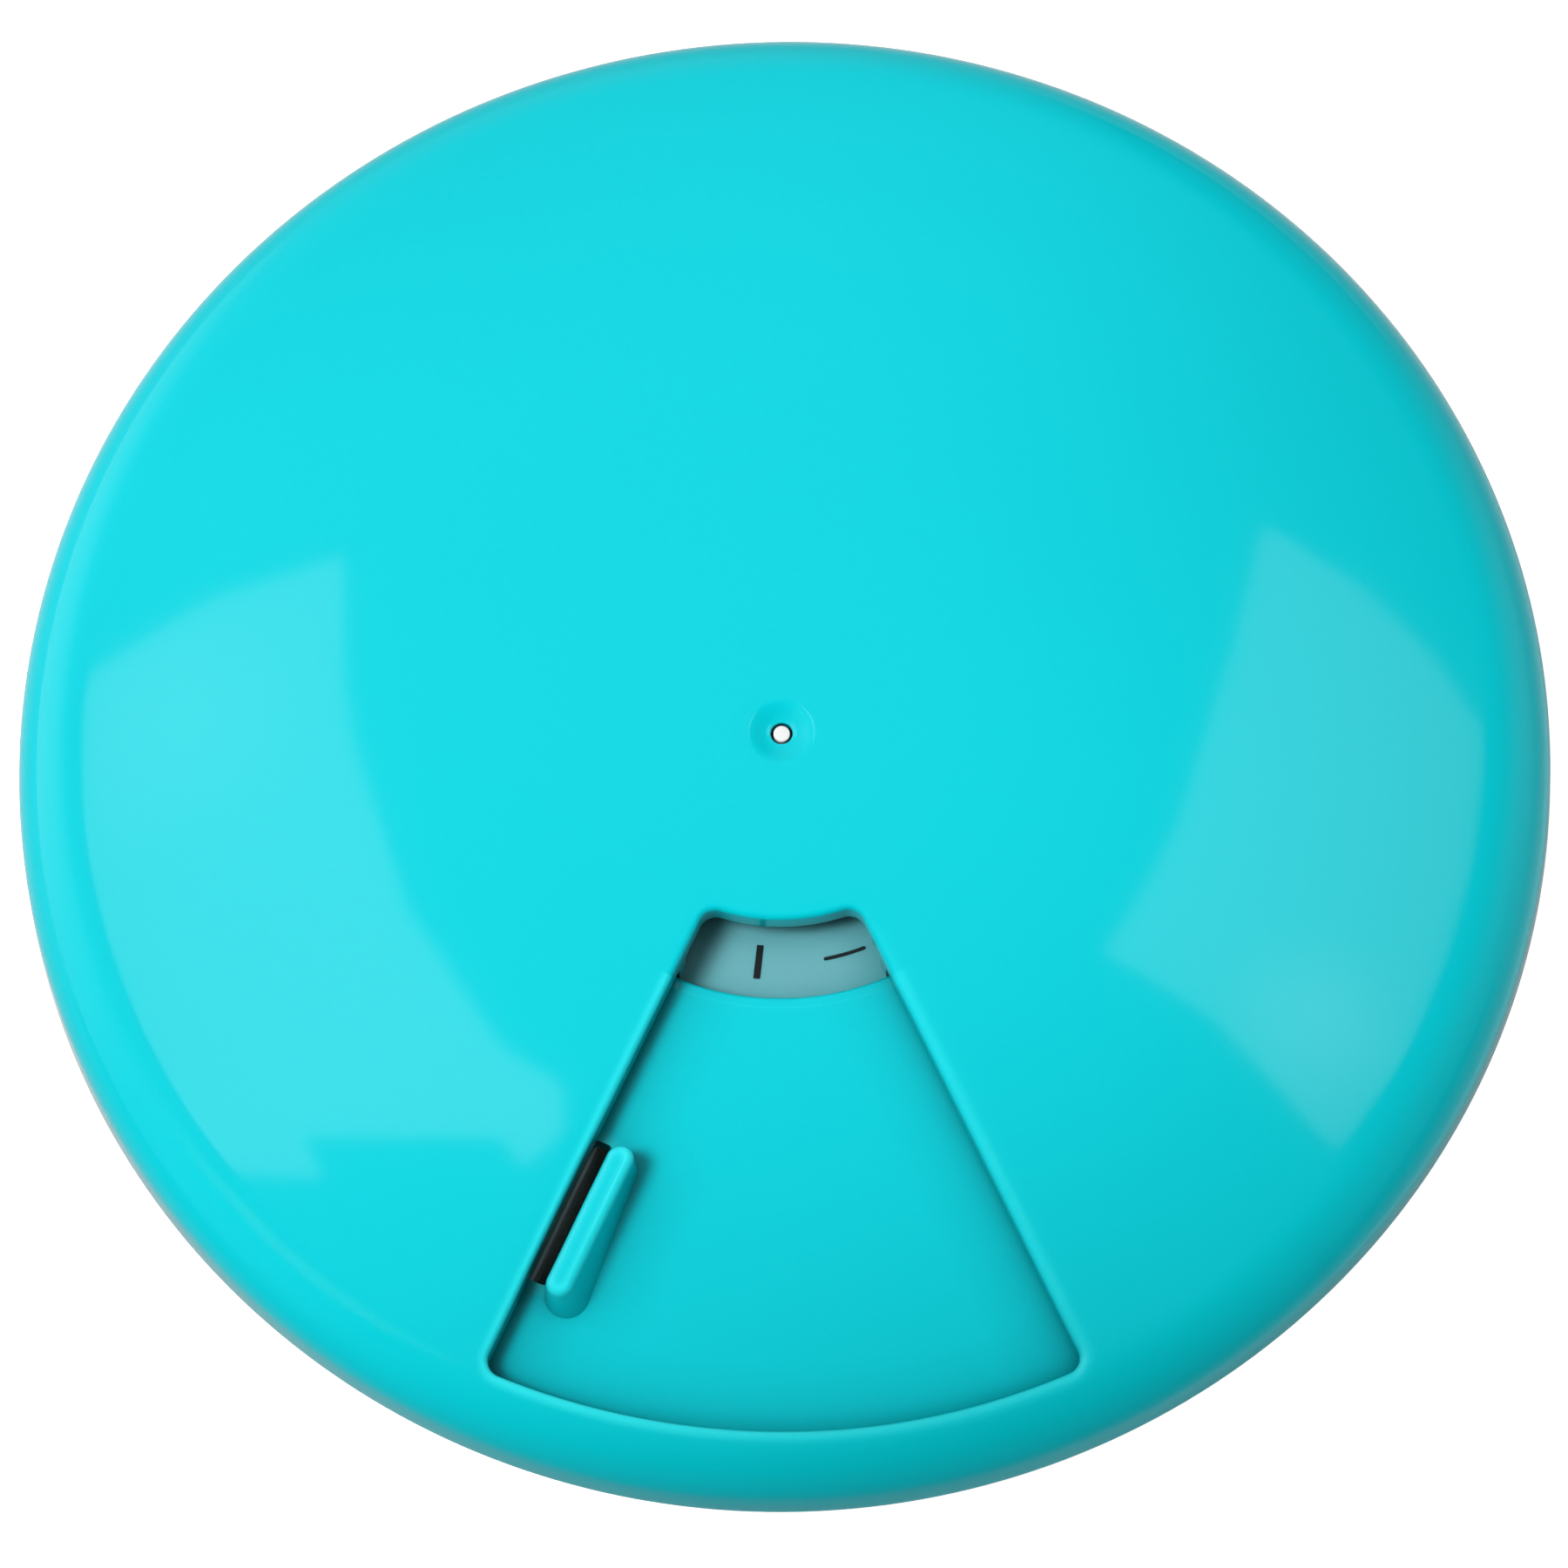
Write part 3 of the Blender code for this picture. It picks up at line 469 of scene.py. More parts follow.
def insideRing(points, ring):
    # Counts the ring's crossings with a line along +X, for all points at once.
    inside = np.zeros(len(points), bool)
    x, y = points[:, 0], points[:, 1]
    for (ax, ay), (bx, by) in zip(np.roll(ring, 1, 0), ring):
        if ay != by:
            crosses = (ay > y) != (by > y)
            inside ^= crosses & (x < (bx - ax) * (y - ay) / (by - ay) + ax)
    return inside


def betweenRings(points, rings):
    keep = insideRing(points, rings[0])
    for ring in rings[1:]:
        keep &= ~insideRing(points, ring)
    return keep


# What meshes are made with: the share of a spacing that a point keeps clear of edges, the distance
# at which points are one, and the angle from which an edge is sharp.
seedRoom, weldReach, sharpAngle = 0.55, 1e-7, math.radians(35)


def ringSeeds(radii, spacing, count=None):
    # Points on circles about the axis, a spacing apart, as rows of x, y and the room they need.
    seeds = []
    for row, radius in enumerate(radii):
        around = count or max(6, round(2 * math.pi * radius / spacing))
        shift = 0 if count else row % 2 / 2
        for k in range(around):
            place = polar(radius, 2 * math.pi * (k + shift) / around)
            seeds.append((place.x, place.y, seedRoom * spacing))
    return seeds


def fillSheet(shape, rings, heightOf, seeds):
    # Fills between an edge and its holes, rings of vertices, with triangles that follow a height.
    flat = [np.array([v.co.xy for v in ring]) for ring in rings]
    grid = np.array(seeds)
    grid = grid[betweenRings(grid, flat)]
    clear = np.ones(len(grid), bool)
    for point in np.concatenate(flat):
        clear &= ((grid[:, :2] - point) ** 2).sum(1) > grid[:, 2] ** 2
    verts = [v for ring in rings for v in ring]
    verts += addRing(shape, [(x, y, heightOf(math.hypot(x, y))) for x, y, _ in grid[clear]])
    edges, first = [], 0
    for ring in rings:
        edges += [(first + k, first + (k + 1) % len(ring)) for k in range(len(ring))]
        first += len(ring)
    flatAll = np.array([v.co.xy for v in verts])
    found = delaunay_2d_cdt([Vector(p) for p in flatAll], edges, [], 0, weldReach)
    source = [origins[0] for origins in found[3]]
    triangles = np.array([[source[k] for k in face] for face in found[2]])
    for corners in triangles[betweenRings(flatAll[triangles].mean(1), flat)]:
        shape.faces.new([verts[k] for k in corners])


def meshFrom(shape):
    bmesh.ops.recalc_face_normals(shape, faces=shape.faces)
    mesh = bpy.data.meshes.new("working")
    shape.to_mesh(mesh)
    shape.free()
    return mesh


def turnedMesh(profile, count, closed=True):
    # A profile of (radius, height) points turned about the axis.
    shape = bmesh.new()
    rings = []
    for radius, level in profile:
        if radius == 0:
            rings.append([shape.verts.new((0, 0, level))] * count)
        else:
            rings.append(addRing(shape, circlePoints(radius, level, count)))
    joinRings(shape, rings + rings[:1] if closed else rings)
    return meshFrom(shape)


def studMesh(radius, top, bottom, count, tip=0):
    # A round peg or hole, with a chamfer at its lower end.
    profile = [(0, top), (radius, top), (radius, bottom + tip)]
    if tip:
        profile.append((radius - tip, bottom))
    return turnedMesh(profile + [(0, bottom)], count, closed=False)


def roundedCorner(centre, radius, first, last, steps=4):
    # An arc in a profile, from one direction in degrees to another.
    angles = [math.radians(a) for a in spaced(first, last, steps)]
    return [(centre[0] + radius * math.cos(a), centre[1] + radius * math.sin(a)) for a in angles]


def softened(corners, steps=4):
    # Corners are (radius, height, rounding): a rounded one becomes a curve that touches both its sides.
    points = []
    for k, (radius, level, soft) in enumerate(corners):
        here = Vector((radius, level))
        before = Vector(corners[k - 1][:2]) - here
        after = Vector(corners[(k + 1) % len(corners)][:2]) - here
        if soft == 0:
            points.append((radius, level))
            continue
        first = here + before.normalized() * min(soft, before.length / 2)
        last = here + after.normalized() * min(soft, after.length / 2)
        for share in spaced(0, 1, steps):
            bend = first.lerp(here, share).lerp(here.lerp(last, share), share)
            points.append((bend.x, bend.y))
    return points


def domeCorners(radii, drop, soft, rounded):
    # Corners along the dome, softened only at the radii named as rounded.
    return [(r, crownHeight(r, drop), soft if r in rounded else 0) for r in radii]


def loftMesh(rings):
    shape = bmesh.new()
    rows = [addRing(shape, ring) for ring in rings]
    joinRings(shape, rows)
    shape.faces.new(rows[0])
    shape.faces.new(rows[-1])
    return meshFrom(shape)


def placed(mesh, shift, angle=0):
    mesh.transform(Matrix.Rotation(angle, 4, "Z") @ Matrix.Translation(shift))
    return mesh


def plainMesh(body):
    # The evaluated object as a mesh with nothing live on it; the object goes.
    bpy.context.view_layer.update()
    evaluated = body.evaluated_get(bpy.context.evaluated_depsgraph_get())
    made = bpy.data.meshes.new_from_object(evaluated)
    bpy.data.objects.remove(body)
    return made


def combine(mesh, others, operation):
    # Joins or cuts a mesh with others.
    body = newObject("working", mesh)
    tools = [newObject("working", other) for other in others]
    for tool in tools:
        change = body.modifiers.new("change", "BOOLEAN")
        change.operation = operation
        change.object = tool
    made = plainMesh(body)
    for tool in tools:
        bpy.data.objects.remove(tool)
    return made


def finishPiece(name, mesh, body, slot, material, *replaced):
    mesh.transform(Matrix.Scale(millimetre, 4))
    mesh.name = name
    mesh.materials.clear()
    mesh.materials.append(material)
    mesh.shade_smooth()
    mesh.set_sharp_from_angle(angle=sharpAngle)
    piece = newObject(name, mesh)
    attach(piece, body)
    if replaced:
        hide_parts(*replaced)
    print("stage: made", name, len(mesh.polygons), "faces")


coverValues = {
    "windowInner": 11.7, "windowOuter": 42.7, "windowCorner": 1.0,
    "windowRound": (0.35, 0.8), "roundTurn": 1.6, "roundRise": 3.0,
    "windowSteps": {"outer": 26, "corner": 6, "side": 30, "inner": 9},
    "sheetEdge": 44.9, "undersideEdge": 43.3,
    "skirtInner": 44.4, "skirtLength": 2.6, "skirtRound": 0.35,
    "beadReach": 0.8, "beadHeight": 0.7, "beadLead": 0.1, "beadSoft": 0.08, "beadSeat": 0.45,
    "dimpleRadius": 2.1, "dimpleDepth": 0.35, "pinhole": 0.65, "pinholeRound": 0.08,
    "bossRadius": 4.0, "bossLength": 10.0, "bossBore": 1.8, "bossFillet": 0.6, "bossEdge": 0.2,
    "fluteRadius": 0.9, "fluteDepth": 0.55, "fluteTop": 21.0, "fluteRunout": 0.5,
    "ribInner": 14.8, "ribOuter": 15.6, "stopWidth": 1.2, "stopLength": 18.0,
    "pegs": 4, "pegRadius": 1.4, "pegPlace": 30.0, "chamfer": 0.3,
    "aroundSteps": 288, "hubSteps": 126, "spacing": 1.1, "rollSpacing": 0.5,
    "crownRows": 34, "rollRows": 7, "undersideRows": 17, "ribSteps": 168, "pegSteps": 32,
    "windowRoundSteps": 8, "rollSteps": (16, 8), "dimpleSteps": 12, "stopSteps": 6,
    "dimpleClear": 0.7, "rollClear": 0.6, "edgeClear": 0.4, "overrun": 1.0,
}
shutterValues = {
    "inner": 15.9, "outer": 43.2, "halfAngle": sector / 2 + math.radians(2.6), "corner": 1.2,
    "edgeRound": 0.28, "travel": math.radians(42),
    "outlineSteps": {"outer": 24, "corner": 6, "side": 28, "inner": 12},
    "gripStart": 26.9, "gripEnd": 37.7, "gripInnerRound": 1.05, "gripOuterRound": 1.5, "gripTopRound": 1.0,
    "gripProud": 0.7, "gripEdge": 0.5, "gripDraft": 0.15, "gripLean": 0.2,
    "slotWidth": 0.9, "slotGap": 0.15, "slotLap": 0.3, "slotRoundShare": 0.3,
    "spacing": 1.0, "topRows": 27, "baseRows": 12, "overrun": 1.0, "edgeSteps": (5, 3),
    "gripSteps": {"end": 8, "side": 14, "flank": 6, "top": 8},
}
windowInset = organizer["trayWall"] / 2
slotFace = windowInset + shutterValues["slotGap"] + shutterValues["slotWidth"]


def windowOutline(spread=0, inner=coverValues["windowInner"]):
    v = coverValues
    return wedgeOutline(
        inner - spread, v["windowOuter"] + spread, sector / 2, windowInset - spread,
        v["windowCorner"] + spread, v["windowSteps"])


def flutedRadius(angle):
    # Seven round flutes, one for each click.
    v = coverValues
    centre = v["bossRadius"] + v["fluteRadius"] - v["fluteDepth"]
    off = (angle - math.pi + sector / 2) % sector - sector / 2
    inside = v["fluteRadius"] ** 2 - (centre * math.sin(off)) ** 2
    if inside <= 0:
        return v["bossRadius"]
    return min(v["bossRadius"], centre * math.cos(off) - math.sqrt(inside))


def windowRings(shape):
    # The rounded top edge, rounder at the right and outside than at the left and inside, and the wall.
    v = coverValues
    least, most = v["windowRound"]
    near, far = windowOutline(), windowOutline(most)
    rounds = []
    for p in near:
        turn = math.atan2(p.x, -p.y) / sector * v["roundTurn"] + 0.5
        share = eased(turn) * eased((p.length - v["windowInner"]) / v["roundRise"])
        rounds.append(least + (most - least) * share)
    rings = []
    for out, down in edgeShares(v["windowRoundSteps"]):
        points = []
        for a, b, reach in zip(near, far, rounds):
            p = a.lerp(b, reach * out / most)
            points.append((p.x, p.y, shellHeight(p.length, reach * down)))
        rings.append(addRing(shape, points))
    rings.append(addRing(shape, liftPoints(near, lambda r: shellHeight(r, coverWall))))
    joinRings(shape, rings)
    return rings


def rimRings(shape):
    # From the crown's edge over the roll, round the skirt's end and up the inside past the snap bead.
    v = coverValues
    skirt, edge, under = v["skirtInner"], v["skirtRound"], rimRoll - coverWall
    bottom = rollHeight - v["skirtLength"]
    beadTop = crownHeight(skirt - v["beadSeat"], guideBaseDrop) - seatGap
    beadRadius = skirt - v["beadReach"]
    middle = beadTop - v["beadHeight"] / 2
    first = math.asin((v["sheetEdge"] - rollRadius) / rimRoll)
    last = math.asin((v["undersideEdge"] - rollRadius) / under)

    def roll(reach, start, end, steps):
        return [
            (rollRadius + reach * math.sin(a), rollHeight + reach * math.cos(a))
            for a in spaced(start, end, steps)]

    profile = roll(rimRoll, first, math.pi / 2, v["rollSteps"][0])
    profile += roundedCorner((organizer["coverRadius"] - edge, bottom + edge), edge, 0, -90)
    profile += roundedCorner((skirt + edge, bottom + edge), edge, -90, -180)
    profile += [
        (skirt, beadTop - v["beadHeight"]), (beadRadius + v["beadLead"], middle),
        (beadRadius, beadTop - v["beadHeight"] / 3), (beadRadius, beadTop - v["beadSoft"]),
        (beadRadius + v["beadSoft"], beadTop), (skirt, beadTop)]
    profile += roll(under, math.pi / 2, last, v["rollSteps"][1])
    rings = [addRing(shape, circlePoints(r, z, v["aroundSteps"])) for r, z in profile]
    joinRings(shape, rings)
    return rings


def hubRings(shape):
    # The dimple, the pinhole, the pin's bore, and the fluted boss back up to the underside.
    v = coverValues
    steps = v["hubSteps"]
    floor = crownTop - v["dimpleDepth"]
    bossTop = crownHeight(0, coverWall)
    bottom = bossTop - v["bossLength"]
    rimTop = shellHeight(v["dimpleRadius"], 0)
    soft, bore, boss = v["pinholeRound"], v["bossBore"], v["bossRadius"]
    flat = v["pinhole"] + soft
    hub = []
    for share in spaced(0, 1, v["dimpleSteps"]):
        down = (rimTop - floor) * eased(share)
        hub.append((v["dimpleRadius"] + (flat - v["dimpleRadius"]) * share, rimTop - down))
    hub += roundedCorner((flat, floor - soft), soft, 90, 180, 3)[1:]
    hub += [(v["pinhole"], bossTop), (bore, bossTop)]
    hub += [(bore, bottom + v["chamfer"]), (bore + v["chamfer"], bottom)]
    rings = [circlePoints(r, z, steps) for r, z in hub]
    angles = [2 * math.pi * k / steps for k in range(steps)]
    for pull, level in (
            (v["bossEdge"], bottom), (0, bottom + v["bossEdge"]), (0, v["fluteTop"] - v["fluteRunout"])):
        rings.append([(*polar(flutedRadius(a) - pull, a), level) for a in angles])
    rings.append(circlePoints(boss, v["fluteTop"], steps))
    fillet = v["bossFillet"]
    under = shellHeight(boss + fillet, coverWall) - fillet
    rings += [circlePoints(r, z, steps) for r, z in roundedCorner((boss + fillet, under), fillet, 180, 90)]
    rings = [addRing(shape, ring) for ring in rings]
    joinRings(shape, rings)
    return rings


def coverShell():
    v = coverValues
    shape = bmesh.new()
    window, rim, hub = windowRings(shape), rimRings(shape), hubRings(shape)
    first, last = v["dimpleRadius"] + v["dimpleClear"], rollRadius - v["rollClear"]
    seeds = ringSeeds(spaced(first, last, v["crownRows"]), v["spacing"])
    radii = spaced(rollRadius, v["sheetEdge"] - v["edgeClear"], v["rollRows"])
    seeds += ringSeeds(radii, v["rollSpacing"], v["aroundSteps"])
    fillSheet(shape, [rim[0], window[0], hub[0]], lambda r: shellHeight(r, 0), seeds)
    radii = spaced(2 * v["bossRadius"], v["undersideEdge"] - 2 * v["edgeClear"], v["undersideRows"])
    seeds = ringSeeds(radii, 2 * v["spacing"])
    fillSheet(shape, [rim[-1], window[-1], hub[-1]], lambda r: shellHeight(r, coverWall), seeds)
    return meshFrom(shape)


def pegPlaces():
    # Turns of the pegs, evenly over the arc that the shutter never reaches.
    v = coverValues
    clear = math.atan2(2 * v["pegRadius"] + v["stopWidth"], v["pegPlace"])
    first = shutterValues["halfAngle"] + shutterValues["travel"] + 2 * clear
    return spaced(first, 2 * math.pi - shutterValues["halfAngle"] - 2 * clear, v["pegs"] - 1)


def coverInsides():
    # The shutter's guide rib, its two stops and the pegs that key the guide plate.
    v = coverValues
    half = coverWall / 2
    profile = [(radius, crownHeight(radius, drop)) for radius, drop in (
        (v["ribOuter"], half), (v["ribOuter"], shutterBaseDrop),
        (v["ribInner"], shutterBaseDrop), (v["ribInner"], half))]
    levels = (crownHeight(v["windowOuter"], guideBaseDrop), crownTop + v["overrun"])
    keepOut = loftMesh([levelPoints(windowOutline(), level) for level in levels])
    made = [combine(turnedMesh(profile, v["ribSteps"]), [keepOut], "DIFFERENCE")]
    reach, inner = shutterValues["halfAngle"], shutterValues["inner"]
    for angle, side in ((-reach, -1), (reach + shutterValues["travel"], 1)):
        near = side * seatGap
        far = near + side * v["stopWidth"]
        corners = ((near, half), (far, half), (far, shutterBaseDrop), (near, shutterBaseDrop))
        made.append(loftMesh([
            [(*besideRadius(angle, along, across), crownHeight(along, drop)) for across, drop in corners]
            for along in spaced(inner, inner + v["stopLength"], v["stopSteps"])]))
    place = v["pegPlace"]
    bottom = crownHeight(place, guideBaseDrop - organizer["guideWall"] / 3)
    for angle in pegPlaces():
        peg = studMesh(v["pegRadius"], crownHeight(place, half), bottom, v["pegSteps"], v["chamfer"])
        made.append(placed(peg, (0, -place, 0), angle))
    return made


def shutterOutline(spread):
    v = shutterValues
    return wedgeOutline(
        v["inner"] - spread, v["outer"] + spread, v["halfAngle"], -spread, v["corner"] + spread,
        v["outlineSteps"])


def gripOutline(innerRound, outerRound, pull):
    # Two circles beside the slot and the lines that touch both, drawn in by pull.
    v = shutterValues
    near = besideRadius(-sector / 2, v["gripStart"] + v["gripInnerRound"], slotFace + innerRound)
    far = besideRadius(-sector / 2, v["gripEnd"] - v["gripOuterRound"], slotFace + outerRound)
    reach = far - near
    lean = (innerRound - outerRound) / reach.length
    along = reach.normalized()
    across = Vector((-along.y, along.x))
    left = along * lean + across * math.sqrt(1 - lean ** 2)
    right = along * lean - across * math.sqrt(1 - lean ** 2)
    steps = v["gripSteps"]
    farSide = roundEnd(far, outerRound - pull, right, along, left, steps["end"])
    nearSide = roundEnd(near, innerRound - pull, left, -along, right, steps["end"])
    between = spaced(0, 1, steps["side"])[1:-1]
    there = [farSide[-1].lerp(nearSide[0], share) for share in between]
    back = [nearSide[-1].lerp(farSide[0], share) for share in between]
    return farSide + there + nearSide + back


def gripRing(innerRound, outerRound, pull, drop, share):
    # One outline of the grip; by its share, its top slopes down towards the slot.
    v = shutterValues
    ridge = slotFace + 2 * v["gripTopRound"]
    ring = []
    for p in gripOutline(innerRound, outerRound, pull):
        across = p.x * math.cos(-sector / 2) + p.y * math.sin(-sector / 2)
        ring.append((p.x, p.y, crownHeight(p.length, drop) - share * v["gripLean"] * max(ridge - across, 0)))
    return ring


def gripMesh():
    # A flank that widens outwards, and an even ridge on top along the slot.
    v = shutterValues
    top = v["gripTopRound"]
    low = shutterDrop + organizer["shutterWall"] / 2
    shoulder = v["gripEdge"] - v["gripProud"]
    rings = []
    for share in spaced(0, 1, v["gripSteps"]["flank"]):
        rings.append(gripRing(
            v["gripInnerRound"] + (top - v["gripInnerRound"]) * share,
            v["gripOuterRound"] + (top - v["gripOuterRound"]) * share,
            v["gripDraft"] * share, low + (shoulder - low) * share, share))
    for turn in spaced(0, math.pi / 2, v["gripSteps"]["top"])[1:]:
        pull = v["gripDraft"] + v["gripEdge"] * (1 - math.cos(turn))
        rings.append(gripRing(top, top, pull, shoulder - v["gripEdge"] * math.sin(turn), 1))
    return loftMesh(rings)


def shutterPlate():
    v = shutterValues
    soft = v["edgeRound"]
    shape = bmesh.new()
    rings = []
    topSteps, baseSteps = v["edgeSteps"]
    for out, down in edgeShares(topSteps):
        outline = shutterOutline(-soft * out)
        points = liftPoints(outline, lambda r: shellHeight(r, shutterDrop) - soft * down)
        rings.append(addRing(shape, points))
    soft = soft / 2
    for out, up in edgeShares(baseSteps)[::-1]:
        outline = shutterOutline(-soft * out)
        points = liftPoints(outline, lambda r: crownHeight(r, shutterBaseDrop) + soft * up)
        rings.append(addRing(shape, points))
    joinRings(shape, rings)
    seeds = ringSeeds(spaced(v["inner"], v["outer"], v["topRows"]), v["spacing"])
    fillSheet(shape, rings[:1], lambda r: shellHeight(r, shutterDrop), seeds)
    seeds = ringSeeds(spaced(v["inner"], v["outer"], v["baseRows"]), 2 * v["spacing"])
    fillSheet(shape, rings[-1:], lambda r: crownHeight(r, shutterBaseDrop), seeds)
    return meshFrom(shape)


def slotMesh():
    # A narrow slot with rounded corners beside the grip.
    v = shutterValues
    corner = v["slotWidth"] * v["slotRoundShare"]
    low, high = slotFace - v["slotWidth"] - v["slotLap"] + corner, slotFace - corner
    first, last = v["gripStart"] + corner, v["gripEnd"] - v["gripOuterRound"] - corner
    points = []
    for along, across, begin in ((first, low, 180), (last, low, 270), (last, high, 0), (first, high, 90)):
        for a, b in roundedCorner((along, across), corner, begin, begin + 90):
            points.append(besideRadius(-sector / 2, a, b))
    levels = (crownHeight(v["outer"], shutterBaseDrop) - v["overrun"], crownTop + 2 * v["overrun"])
    return loftMesh([levelPoints(points, level) for level in levels])


cover = combine(coverShell(), coverInsides(), "UNION")
finishPiece("cover_shell", cover, "cover", "cyan_plastic", cyan, "cover")
shutter = combine(combine(shutterPlate(), [gripMesh()], "UNION"), [slotMesh()], "DIFFERENCE")
finishPiece("shutter_slide", shutter, "shutter", "cyan_plastic", cyan, "shutter")


def newTree(name, inputs):
    # A geometry tree with a Geometry socket each way and the named inputs given.
    inputs = {"Geometry": "Geometry", **inputs, "Material": "Material"}
    return newGroup(name, "GeometryNodeTree", inputs, {"Geometry": "Geometry"})


def closeTree(tree, given, geometry):
    real = addNode(tree, "GeometryNodeRealizeInstances", {"Geometry": geometry})[0]
    finish = addNode(tree, "GeometryNodeSetMaterial", {"Geometry": real, "Material": given["Material"]})[0]
    addNode(tree, "NodeGroupOutput", {"Geometry": finish})
    return tree


def makeRoundAxis():
    # Sets a shape round the axis at even turns.
    tree, given = newTree("roundAxis", {"Count": "Int", "First Turn": "Float"})
    spots = addNode(tree, "GeometryNodePoints", {"Count": given["Count"]})[0]
    step = calculate(tree, "DIVIDE", 2 * math.pi, given["Count"])
    order = addNode(tree, "GeometryNodeInputIndex")[0]
    swing = calculate(tree, "MULTIPLY_ADD", order, step, given["First Turn"])
    turn = addNode(tree, "ShaderNodeCombineXYZ", {"Z": swing})[0]
    spread = addNode(tree, "GeometryNodeInstanceOnPoints", {
        "Points": spots, "Instance": given["Geometry"], "Rotation": turn})[0]
    return closeTree(tree, given, spread)


def makeCutRound():
    # Cuts another object's shape out of a body, at even turns round the axis.
    tree, given = newTree("cutRound", {"Cutter": "Object", "Count": "Int"})
    cutter = addNode(tree, "GeometryNodeObjectInfo", {"Object": given["Cutter"]})["Geometry"]
    around = addNode(tree, "GeometryNodeGroup", {
        "Geometry": cutter, "Count": given["Count"], "Material": given["Material"]}, node_tree=roundAxis)[0]
    cut = addNode(tree, "GeometryNodeMeshBoolean", {
        0: given["Geometry"], 1: around}, operation="DIFFERENCE", solver="EXACT")[0]
    return closeTree(tree, given, cut)


roundAxis = makeRoundAxis()
cutRound = makeCutRound()


def grown(mesh, tree, values):
    # A mesh with a geometry tree's result in it. Inputs are set by their sockets' identifiers.
    body = newObject("working", mesh)
    change = body.modifiers.new(tree.name, "NODES")
    change.node_group = tree
    for socket in tree.interface.items_tree:
        if socket.in_out == "INPUT" and socket.name in values:
            change[socket.identifier] = values[socket.name]
    return plainMesh(body)


trayValues = {
    "ringRadius": 16.0, "hubLap": 0.9, "hubWall": 1.7,
    "rimWall": 1.1, "rimGap": 0.35, "bowlWall": 1.6, "bowlTop": 45.6, "bowlPull": (40.48, 3.92),
    "footRadius": 33.0, "footWidth": 3.0, "footHeight": 0.8, "floorWall": 1.6, "recessHeight": 3.0,
    "postRadius": 3.4, "pinClear": 2.1, "pocketCorner": 2.2, "pocketFillet": 1.6, "edgeRound": 0.3,
    "pocketSteps": {"outer": 14, "corner": 6, "side": 12, "inner": 7}, "aroundSteps": 252,
    "topSteps": 16, "bowlSteps": 24, "wallSteps": 12, "filletSteps": 6, "edgeSteps": 5, "measureSteps": 60,
}
guideInner = trayValues["ringRadius"] + organizer["runGap"]
hubRadius = guideInner + trayValues["hubLap"]
cupRadius = hubRadius - trayValues["hubWall"]
shoulder = rollHeight - coverValues["skirtLength"] - trayValues["rimGap"]
rimRadius = coverValues["skirtInner"] - coverValues["beadReach"] - trayValues["rimGap"]
bossBottom = crownHeight(0, coverWall) - coverValues["bossLength"]
trayFloor = trayValues["footHeight"] + trayValues["floorWall"]


def bowlCurve(steps):
    # The bowl's outside, from the shoulder down to the foot, and which way its wall lies.
    v = trayValues
    top, pull, foot = (Vector(p) for p in ((v["bowlTop"], shoulder), v["bowlPull"], (v["footRadius"], 0)))
    curve = []
    for share in spaced(0, 1, steps):
        place = top.lerp(pull, share).lerp(pull.lerp(foot, share), share)
        run = (pull - top).lerp(foot - pull, share)
        curve.append((place, Vector((run.y, -run.x)).normalized()))
    return curve


def bowlInside(level):
    # How far out the inside of the bowl's wall lies at a height.
    v = trayValues
    inside = [place + inward * v["bowlWall"] for place, inward in bowlCurve(v["measureSteps"])][::-1]
    radius = np.interp(level, [p.y for p in inside], [p.x for p in inside])
    return min(float(radius), rimRadius - v["rimWall"])


def trayBody():
    v = trayValues
    soft = v["edgeRound"]
    cupFloor = v["recessHeight"] + v["floorWall"]
    postTop = bossBottom - seatGap
    footInner = v["footRadius"] - v["footWidth"]
    recess = cupRadius - v["hubWall"]
    corners = [
        (v["pinClear"], postTop, soft), (v["postRadius"], postTop, soft),
        (v["postRadius"], cupFloor, 2 * soft), (cupRadius, cupFloor, 3 * soft)]
    radii = spaced(cupRadius, rimRadius, v["topSteps"])
    corners += domeCorners(radii, trayDrop, soft, (cupRadius, rimRadius))
    corners.append((rimRadius, shoulder, soft))
    for place, _ in bowlCurve(v["bowlSteps"]):
        corners.append((place.x, place.y, soft if place.y in (0, shoulder) else 0))
    corners += [
        (footInner, 0, soft), (footInner - v["footHeight"] / 2, v["footHeight"], soft),
        (recess, v["footHeight"], soft), (recess - v["footHeight"], v["recessHeight"], 2 * soft),
        (v["pinClear"], v["recessHeight"], soft)]
    return turnedMesh(softened(corners), v["aroundSteps"])


def pocketOutline(level, drawIn):
    v = trayValues
    outer = bowlInside(max(level, trayFloor + v["pocketFillet"]))
    return wedgeOutline(
        hubRadius + drawIn, outer - drawIn, sector / 2, organizer["trayWall"] / 2 + drawIn,
        v["pocketCorner"] - drawIn, v["pocketSteps"])


def openEdge(rings, outlineOf, drop, soft, steps):
    # Ends a cutter's rings with a rounded upper edge and carries them on up past the top.
    for out, down in edgeShares(steps)[::-1]:
        level = drop + soft * down - soft / 10
        rings.append(liftPoints(outlineOf(soft * out), lambda r: crownHeight(r, level)))
    rings.append([(x, y, crownTop) for x, y, _ in rings[-1]])
    return loftMesh(rings)


